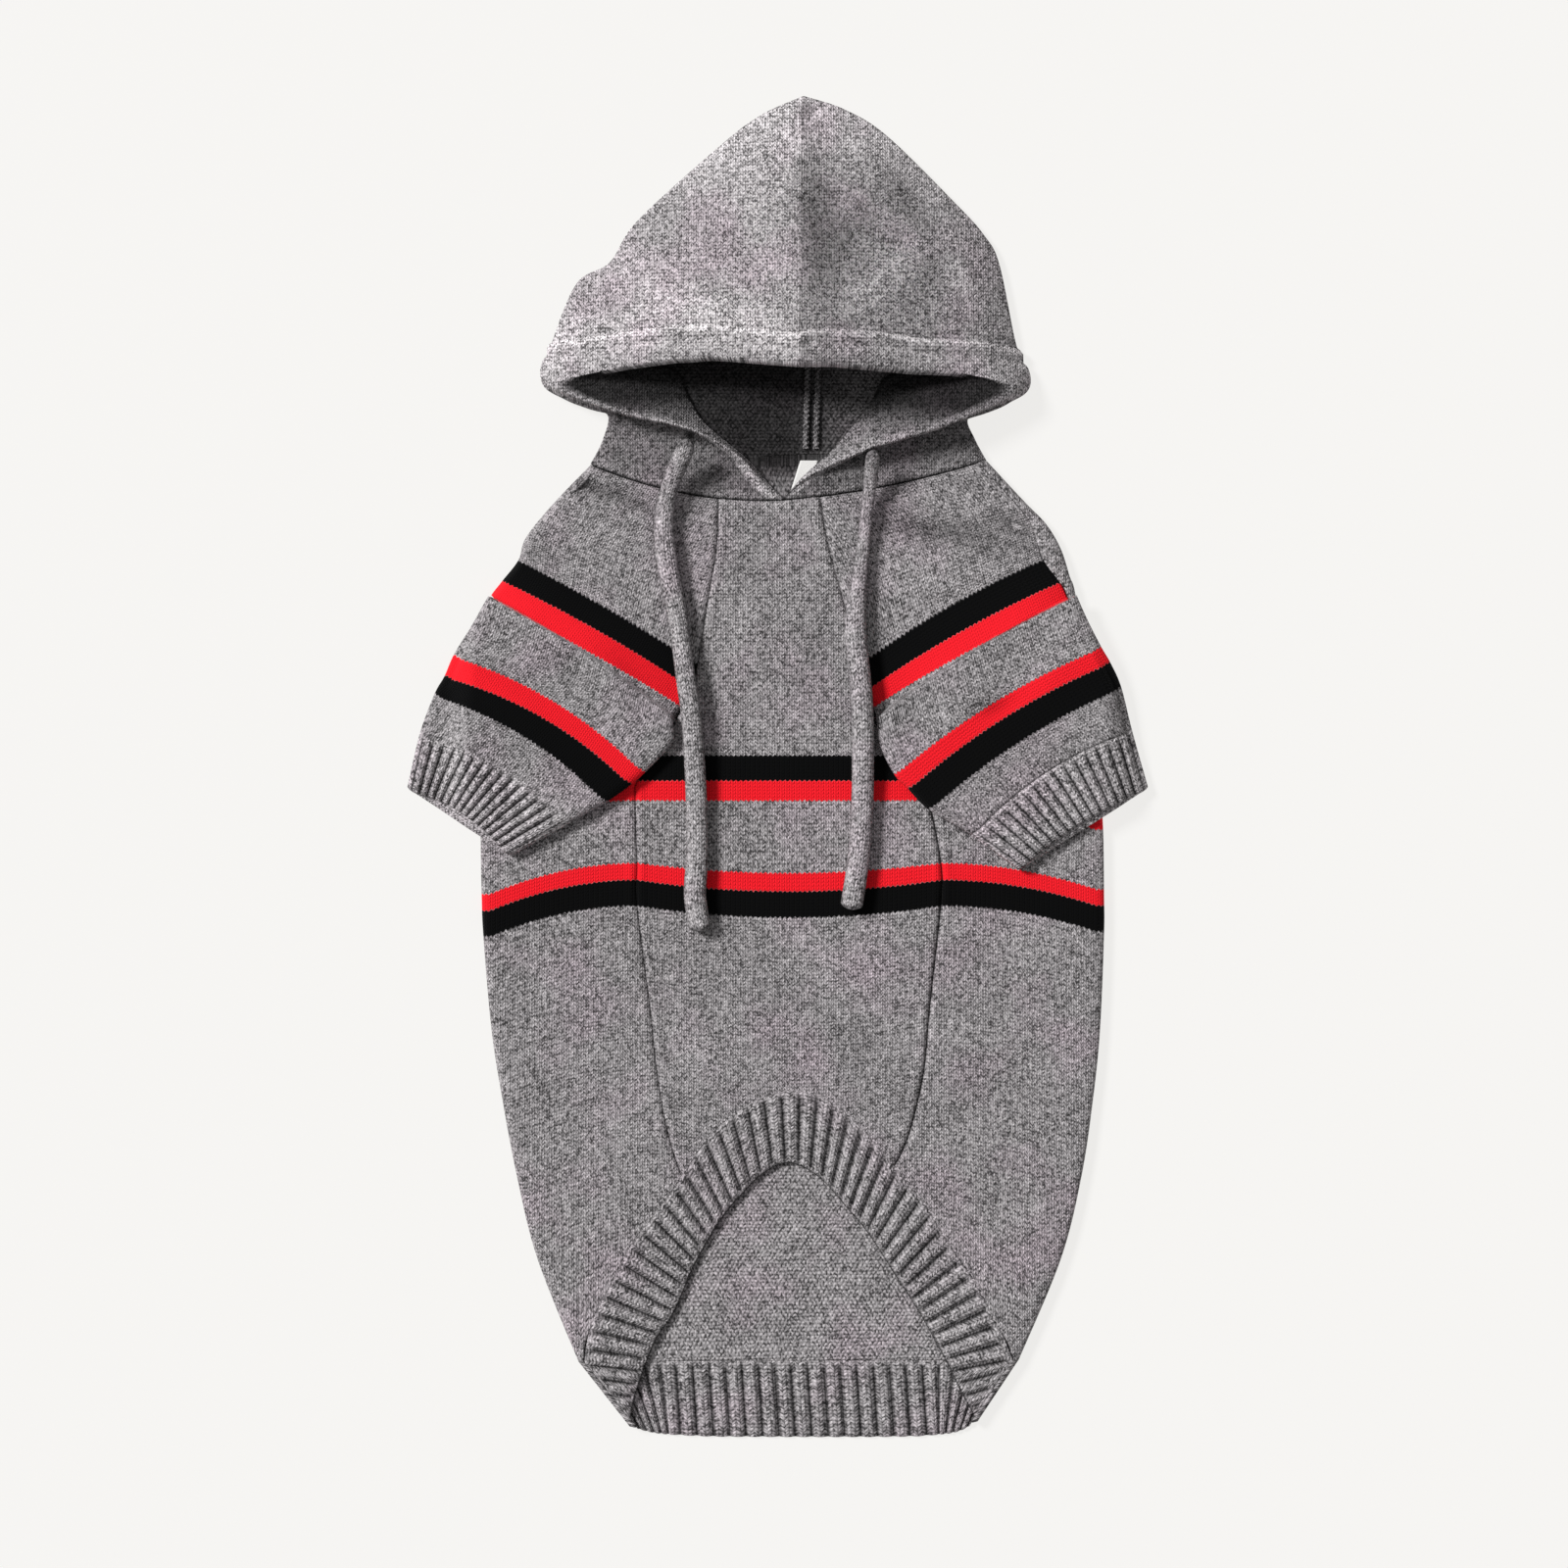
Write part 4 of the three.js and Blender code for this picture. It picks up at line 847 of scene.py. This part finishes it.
# side fold and lip of the left half, lip and side fold of the right half, height of the lip and
# back seam, from the throat to the forehead
HOOD = np.array([
    (-70.9, 114, 1.3, 100.4, 1.3, 100.4, 79, 115.4, 5.2, 12, 118),
    (-66.4, 122.8, -6.5, 106.2, 11.3, 108.8, 74.6, 123.6, 9, 12, 119.9),
    (-64.2, 132.5, -15.4, 116.9, 25.3, 115.4, 72, 131.3, 11, 12, 122.8),
    (-71.6, 135.1, -33.5, 126.5, 37.9, 120.2, 80.1, 133.9, 14, 11.7, 125.8),
    (-80.8, 138.8, -60.9, 133.2, 62.3, 127.6, 87.5, 137.3, 15, 11.3, 129.5),
    (-89, 145, -83, 142.8, 89, 141, 95.3, 143.9, 13, 10.9, 134.7),
    (-85.7, 159.1, -64.2, 148.4, 70.9, 146.9, 90.1, 159.8, 15, 10.5, 146.9),
    (-76, 182.5, -42, 151.7, 50.5, 148, 83.8, 189.8, 18, 10.2, 165.4),
    (-63.5, 190.5, -33.5, 152.3, 43, 148.6, 78, 200.8, 19.6, 10, 176.5),
    (-53.1, 206.1, -23.5, 152.8, 35.7, 149.1, 67.2, 212.8, 21.5, 9.8, 187.6),
    (-23.5, 233.1, -6.8, 151.3, 20.9, 150.2, 41.3, 238.3, 25.5, 9.8, 219),
    (-6.6, 246, 1, 150.5, 14.5, 150, 25.3, 248.3, 28, 9.8, 233),
    (9.8, 253.4, 8, 149.8, 8, 149.8, 9.8, 253.4, 30, 9.8, 247),
]) * MM
# line where the casing is stitched down over the forehead, from left to right
BROW = np.array([(-86, 159.8), (-60.9, 162.4), (-39.8, 165), (-25, 165.3), (-8, 163.2), (8, 160.8),
                 (12, 162.6), (27.9, 162.8), (43.8, 161.7), (54.6, 160), (74.2, 159.8), (92, 157)]) * MM
HOOD_CREASES = ((14, 236, 20, 176, -2.2, 8), (28, 170, 54, 192, 1.5, 6), (22, 190, 40, 214, -1.2, 7),
                (-60, 186, -30, 176, 0.8, 9), (-36, 214, -14, 186, -0.7, 8), (62, 196, 58, 176, -0.9, 6),
                (-66, 172, -50, 168, -0.8, 5), (42, 224, 58, 202, -1.3, 5), (64, 200, 72, 178, 0.9, 5))
EYELETS = np.array([(-33.4, 124.6), (35.7, 118.9)]) * MM
TUCK = np.array((11.4, 248.5)) * MM
# where the inside of the opening's lower edge goes down to the back of the hood
FACINGS = {
    "left": np.array([(2.3, 101.2), (-3.5, 106.8), (-11.5, 116), (-27.5, 129.5), (-34, 139.5),
                      (-39, 149), (-50, 153)]) * MM,
    "right": np.array([(2.5, 101.4), (10.5, 110.4), (20.5, 119), (29.5, 129.5), (36, 138),
                       (41, 147), (55, 151)]) * MM,
}
FACING_ROWS = 6
FACING_COLUMNS = 16
HOOD_UPPER = 128
HOOD_LOWER = 44
FACING_WALL = 1.6 * MM
BROW_START = 4.6
MIDDLE_SEAM = 6 * MM
# painted light: the left half of the hood gets a lighter copy of the jersey than the right, as if lit by
# the lamp up to the left
HOOD_PAINTED_LIGHT = {"left": 1.22, "right": 1.08}
FOREHEAD = np.concatenate([HOOD[5:, INSIDE["left"]], HOOD[:4:-1, INSIDE["right"]][1:]])


def tent(share, height):
    """Height of the upper layer between the side fold and the lip"""
    rounded = np.sqrt(np.clip(1 - (1 - share) ** 2, 0, 1))
    return FOLD + (height - FOLD) * mix(share, rounded, 0.3)


def hood_ring(row, side, at):
    """Ring of half the hood: the facing, the upper layer, the side fold and the back, and its shade"""
    edge, lip, lip_height, back = row[OUTSIDE[side]], row[INSIDE[side]], row[8], row[9:11]
    length = np.linalg.norm(lip - edge)
    top_way, low_way = unit(lip - edge), unit(back - edge)
    throat = max(0.0, 1 - at / 2)
    share = 1 - np.linspace(0, 1, HOOD_UPPER, endpoint=False) ** 0.8
    height = mix(lip_height, 2 * FOLD, throat)

    def level(s):
        return mix(tent(s, height), tent(np.minimum(1, s * 12), 2 * FOLD), throat)

    z = level(share)
    ahead, behind = np.minimum(1, share + 0.01), np.maximum(0, share - 0.01)
    rise = unit(np.column_stack([(ahead - behind) * length, level(ahead) - level(behind)]))
    normal = rise[:, ::-1] * (-1, 1)
    from_lip = (1 - share) * length / min(CASING, 0.45 * length) * CASING
    across = mix(edge, lip, share[:, None])
    x, y = across.T
    # the casing over the forehead: a padded band with a stitched ridge along its upper edge
    brow = ease(at - BROW_START)
    past = y - np.interp(x, *BROW.T)
    lip_y = np.interp(x, *FOREHEAD.T)
    band_share = np.clip((y - lip_y) / (y - past - lip_y), 0, 1)
    crisp = mix(0.75, 1.1, ease((x - 2 * MM) / (8 * MM)))
    crisp = crisp * (0.85 + 0.25 * np.sin(x / (5.2 * MM)) * np.sin(x / (11 * MM)))
    puff = (1.2 * np.sin(math.pi * band_share) ** 0.7 + 1.5 * crisp * bell(past + 1.5 * MM, 1.6 * MM)
            - 0.8 * bell(past + 4.8 * MM, 1.1 * MM) - 0.9 * bell(past - 1.6 * MM, 1.2 * MM)) * MM * brow
    folds = creased(across, HOOD_CREASES) * ease(past / (8 * MM))
    from_tuck = np.linalg.norm(across - TUCK, axis=1)
    from_seam = at * MIDDLE_SEAM
    puff = puff + folds - 1.5 * MM * bell(from_tuck, 4 * MM) - 0.9 * MM * bell(from_seam, 1 * MM)
    below = 1 - ease(at - 4)
    drop = LIP_DROP * ease(from_lip / (4 * MM)) * below * ease(at / 1.5)
    puff = puff - np.minimum(drop, np.maximum(z - 2 * FOLD, 0))
    leftward = 1 - ease((x + 20 * MM) / (34 * MM))
    # painted highlight on the brow's ridge, left of the middle above the brow and toward the crown; painted
    # shade in the grooves beside the ridge and in the folds
    painted_highlight = (0.32 * crisp * bell(past + 1.8 * MM, 2.4 * MM) + 0.5 * leftward * bell(past - 4 * MM, 7 * MM)
              + 0.45 * ease((y - 205 * MM) / (40 * MM)) + 0.3 * band_share * (past < 0))
    dark = (0.4 * crisp * bell(past + 4.6 * MM, 0.9 * MM) + 0.3 * bell(past - 1.0 * MM, 0.6 * MM)
            - painted_highlight) * brow + fold_shade(folds)
    # painted shade on the neck below the lower lips, lighter on each lip's own rolled edge
    shade_under_lip = (0.55 * ease((from_lip - 3 * MM) / (3 * MM)) + 0.2 * bell(from_lip - 5 * MM, 2 * MM)
              - 0.2 * bell(from_lip - 1.2 * MM, 1.6 * MM))
    dark = dark + shade_under_lip * below * ease(0.3 + at)
    # painted shade in the middle seam, in the dimple of the tuck and in the two eyelets
    shade_spots = np.maximum(seam_shade(from_seam, 0.8 * MM, 0.95), 0.6 * bell(from_tuck, 3.2 * MM))
    for hole in EYELETS:
        shade_spots = np.maximum(shade_spots, 0.95 * bell(np.linalg.norm(across - hole, axis=1), 2.4 * MM))
    dark = dark + shade_spots * (1 - dark)

    # two layers in the casing, one in the rest
    casing_wall = mix(2 * WALL, WALL, min(1, throat * 1.6))
    wall = np.where(from_lip < CASING, casing_wall, WALL) - np.minimum(puff, 0)
    upper = []
    for way in (puff, -wall):
        points = np.column_stack([edge + (share * length + normal[:, 0] * way)[:, None] * top_way,
                                  z + normal[:, 1] * way])
        points[:, 1] -= NECK_BOW[side] * throat * 4 * share * (1 - share)
        upper.append(points)
    angle = np.linspace(0, math.pi / 2, 7)
    turn = unit(mix(unit(top_way + low_way), low_way, np.linspace(0, 1, 7)[:, None]))
    arcs = [lifted(edge + turn * (FOLD - radius * np.cos(angle))[:, None], FOLD - radius * np.sin(angle))
            for radius in (FOLD, FOLD - WALL)]
    reach = np.linalg.norm(back - edge)
    low = edge + low_way * mix(min(FOLD, 0.4 * reach), reach, np.linspace(0, 1, HOOD_LOWER)[1:, None])
    facing = catmull(FACINGS[side], min(at, FACING_ROWS))[0]
    down = np.linspace(1, 0, FACING_COLUMNS, endpoint=False)
    ledge = mix(lip, facing, down[:, None])
    slope = mix(upper[0][0, 2], WALL + 1.8 * MM, ease(down * 0.95)) + 0.8 * MM * np.sin(math.pi * down)
    facings = (lifted(ledge, slope), lifted(ledge, np.maximum(slope - FACING_WALL, WALL + 0.2 * MM)))
    beneath = np.interp(ledge[:, 0], *FOREHEAD.T) - ledge[:, 1]
    shade = mix(0.4, 0.97, ease((25 * MM - beneath) / (14 * MM)))
    shade = shade * ease(down * np.linalg.norm(facing - lip) / (5 * MM))
    out, ins = (np.concatenate([a, b, c, lifted(low, height)])
                for a, b, c, height in zip(facings, upper, arcs, (0, WALL)))
    dark = np.pad(np.concatenate([shade, dark]), (0, len(angle) + len(low)))
    return out, ins, out[:, :2] * (1, -1), dark, hood_inside_shade(ins)


for side in SIDES:
    places = np.linspace(0, len(HOOD) - 1, 12 * len(HOOD) + 1)
    rings = [hood_ring(row, side, at) for at, row in zip(places, catmull(HOOD, places))]
    outer, inner, uv, painted_shade, inside_shade = sewn(rings, first=SEAM, right=SEAM)
    on_facing = np.arange(outer.shape[1] - 1) < FACING_COLUMNS
    keep = ~np.logical_and.outer(places[:-1] >= FACING_ROWS - TINY, on_facing)
    for grid in (outer, inner):
        grid[-1, :, 0] -= SEAM * SIGN[side]
    hood = shell(f"hood_{side}_knit", outer, inner, uv, painted_shade, inside_shade, keep)
    jersey_hood = knit_material(f"jersey_hood_{side}", light=HOOD_PAINTED_LIGHT[side])
    dress(hood, f"hood_{side}", jersey_hood)


# Edges of the hood's middle seam, oversewn with yarn, which run down inside to the nape.
RIDGE_TURNS = 22
RIDGE_WIDE = 1.0 * MM
RIDGE_LOW = 120 * MM
RIDGE_LONG = 44 * MM


def ring_faces(index):
    """Faces between rings of points, each of which closes on itself"""
    beside = np.roll(index, -1, 1)
    return np.stack([index[:-1], beside[:-1], beside[1:], index[1:]], -1).reshape(-1, 4)


for count, x in enumerate((11.7 * MM, 15.6 * MM)):
    t, turn = np.meshgrid(np.linspace(0, 1, 240), np.linspace(0, 2 * math.pi, 14, endpoint=False),
                          indexing="ij")
    lumps = 1 + 0.28 * np.sin(2 * math.pi * RIDGE_TURNS * t + 2 * turn + count)
    lean = 1.1 * MM * (1 - t)
    ring = np.stack([x - lean + RIDGE_WIDE * lumps * np.cos(turn), RIDGE_LOW + RIDGE_LONG * t,
                     WALL + 0.8 * MM + 0.85 * RIDGE_WIDE * lumps * np.sin(turn)], -1)
    uvs = np.stack([turn * RIDGE_WIDE, t * RIDGE_LONG], -1).reshape(-1, 2)
    # painted shade, darker further inside the hood and between the lumps of yarn
    dark = 0.45 + 0.35 * t.ravel() - 0.25 * (lumps.ravel() - 1)
    ridge = cloth_object(f"hood_seam_edge_{count}", ring.reshape(-1, 3),
                         ring_faces(np.arange(t.size).reshape(t.shape)), uvs, 0 * dark, dark)
    dress(ridge, None, jersey_rib)


# Drawcords: knitted tubes about 8 mm wide, flattened, that come out of eyelets in the casing
# and lie down over the chest to their cut ends.
CORD_WIDTH = 8.4 * MM
CORD_THICK = 6 * MM
CORDS = {
    "left": np.array([
        (-33.6, 122.5, 19), (-35, 118, 17.2), (-38, 111.5, 13.6), (-41, 103.5, 10.6), (-42.8, 93, 9),
        (-42.3, 82, 9), (-40.3, 69, 9.2), (-37.6, 56.2, 9.8), (-36, 44, 10.4), (-34.4, 32, 11.2),
        (-32.6, 20, 11.2), (-31.6, 7, 10), (-30.9, -6, 9), (-30.5, -20, 8.8), (-30.4, -35, 8.8),
        (-31.1, -49, 8.8), (-29, -62, 8.8)]) * MM,
    "right": np.array([
        (36, 118.3, 18.6), (35.6, 114.6, 16.6), (35, 109, 13), (34.3, 101.6, 10.4), (33, 91, 8.8),
        (31.8, 79, 8.8), (30.4, 67, 9.2), (29.2, 54, 9.8), (30.2, 40, 10.4), (31.4, 28, 11.2),
        (32, 16, 11.2), (32.1, 3, 10), (32, -10, 9), (31.2, -27, 8.8), (29.6, -41, 8.8),
        (27.6, -54, 8.8)]) * MM,
}
# where a cord turns its narrow side up: distance from the eyelet in mm, and share of its width
CORD_TWIST = {"left": ((0, 4, 8, 22, 46, 77, 120, 165), (0.62, 0.8, 0.84, 0.78, 1, 0.86, 0.93, 1)),
              "right": ((0, 5, 20, 40, 52, 66, 140), (0.6, 0.66, 0.56, 0.6, 0.72, 1, 1))}
CORD_AROUND = 28
CORD_ROWS = 260
CORD_END = 2.4 * MM
jersey_cord = knit_material("jersey_cord", wale=1.9 * MM, course=1.5 * MM, light=1.16)
angle = np.linspace(0, 2 * math.pi, CORD_AROUND, endpoint=False)
for side, route in CORDS.items():
    line = curve(route)
    length = run_along(line(np.linspace(0, 1, 600)))[-1]
    t = np.linspace(0, 1, CORD_ROWS)
    centre = line(t)
    way = unit(np.gradient(centre, axis=0))
    across = unit(np.cross(way, (0, 0, 1)))
    up = np.cross(across, way)
    from_end = np.minimum(t, 1 - t) * length
    taper = np.sqrt(np.clip(1 - (1 - np.clip(from_end / CORD_END, 0, 1)) ** 2, 0, 1))
    at, narrow = CORD_TWIST[side]
    size = np.interp(t * length, np.array(at) * MM, narrow) * np.maximum(taper, 0.25) / 2
    wide, thick = (np.outer(size, part)[:, :, None] for part in (np.cos(angle), np.sin(angle)))
    rings = centre[:, None] + across[:, None] * wide * CORD_WIDTH + up[:, None] * thick * CORD_THICK
    index = np.arange(CORD_ROWS * CORD_AROUND).reshape(CORD_ROWS, CORD_AROUND)
    # each end is closed by a fan round its middle point
    corner = np.arange(0, CORD_AROUND, 2)
    fan = np.stack([corner, corner + 1, (corner + 2) % CORD_AROUND], 1)
    caps = [np.insert(index[end][fan[:, ::way_round]], 0, index.size + number, 1)
            for number, (end, way_round) in enumerate(((0, -1), (-1, 1)))]
    points = np.concatenate([rings.reshape(-1, 3), rings[[0, -1]].mean(1)])
    girth = math.pi * (CORD_WIDTH + CORD_THICK) / 2
    uvs = np.stack(np.meshgrid(np.abs(angle / math.pi - 1) * girth / 2, t * length), -1).reshape(-1, 2)
    uvs = np.concatenate([uvs, [(0, 0), (0, length)]])
    # painted shade down both flat edges of the cord, where it leaves the eyelet, and on its two ends
    dark = 0.5 * np.abs(np.cos(angle)) ** 8 + 0.5 * bell(t * length, 3 * MM)[:, None]
    dark = np.concatenate([dark.ravel(), (0.9, 0.6)])
    drawcord = cloth_object(f"drawcord_{side}_knit", points, np.concatenate([ring_faces(index), *caps]),
                            uvs, 0 * dark, dark)
    dress(drawcord, f"drawcord_{side}", jersey_cord)


# Label: a blank piece of white woven tape, sewn into the nape seam by its upper end.
LABEL_TOP = 115.5 * MM
LABEL_LEFT = 8.6 * MM
LABEL_RIGHT = 15.2 * MM
LABEL_LENGTH = 10.8 * MM
LABEL_LEAN = -3.4 * MM
LABEL_THICK = 0.4 * MM
WHITE = (0.80, 0.79, 0.77, 1)
woven, surface = surfaced("woven_tape", {"Roughness": 0.8})
start = Yarn(woven.node_tree)
place = start.node("ShaderNodeUVMap", {"uv_map": "knit"})
weave = start.node("ShaderNodeTexWave", {"bands_direction": "Y"}, {"Vector": place, "Scale": 900.0},
                   output=1)
# the weave is painted a little darker between its threads: painted shade
shade = weave.mixed(shaded_colour(WHITE, 0.86), WHITE)
woven.node_tree.links.new(shade.socket, surface.inputs["Base Color"])
bump = start.node("ShaderNodeBump", None, {"Strength": 0.3, "Distance": 0.1 * MM, "Height": weave})
woven.node_tree.links.new(bump.socket, surface.inputs["Normal"])
t, s = np.meshgrid(np.linspace(0, 1, 17), np.linspace(0, 1, 11), indexing="ij")
x = mix(LABEL_LEFT, LABEL_RIGHT, s) + LABEL_LEAN * t
y = LABEL_TOP - LABEL_LENGTH * t
low = WALL + 0.3 * MM + 0.35 * MM * np.sin(math.pi * t)
outer, inner = (np.stack([x, y, low + thick], -1) for thick in (LABEL_THICK, 0))
neck_label = shell("neck_label_tape", outer, inner, outer[:, :, :2])
dress(neck_label, "neck_label", woven)

low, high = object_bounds()
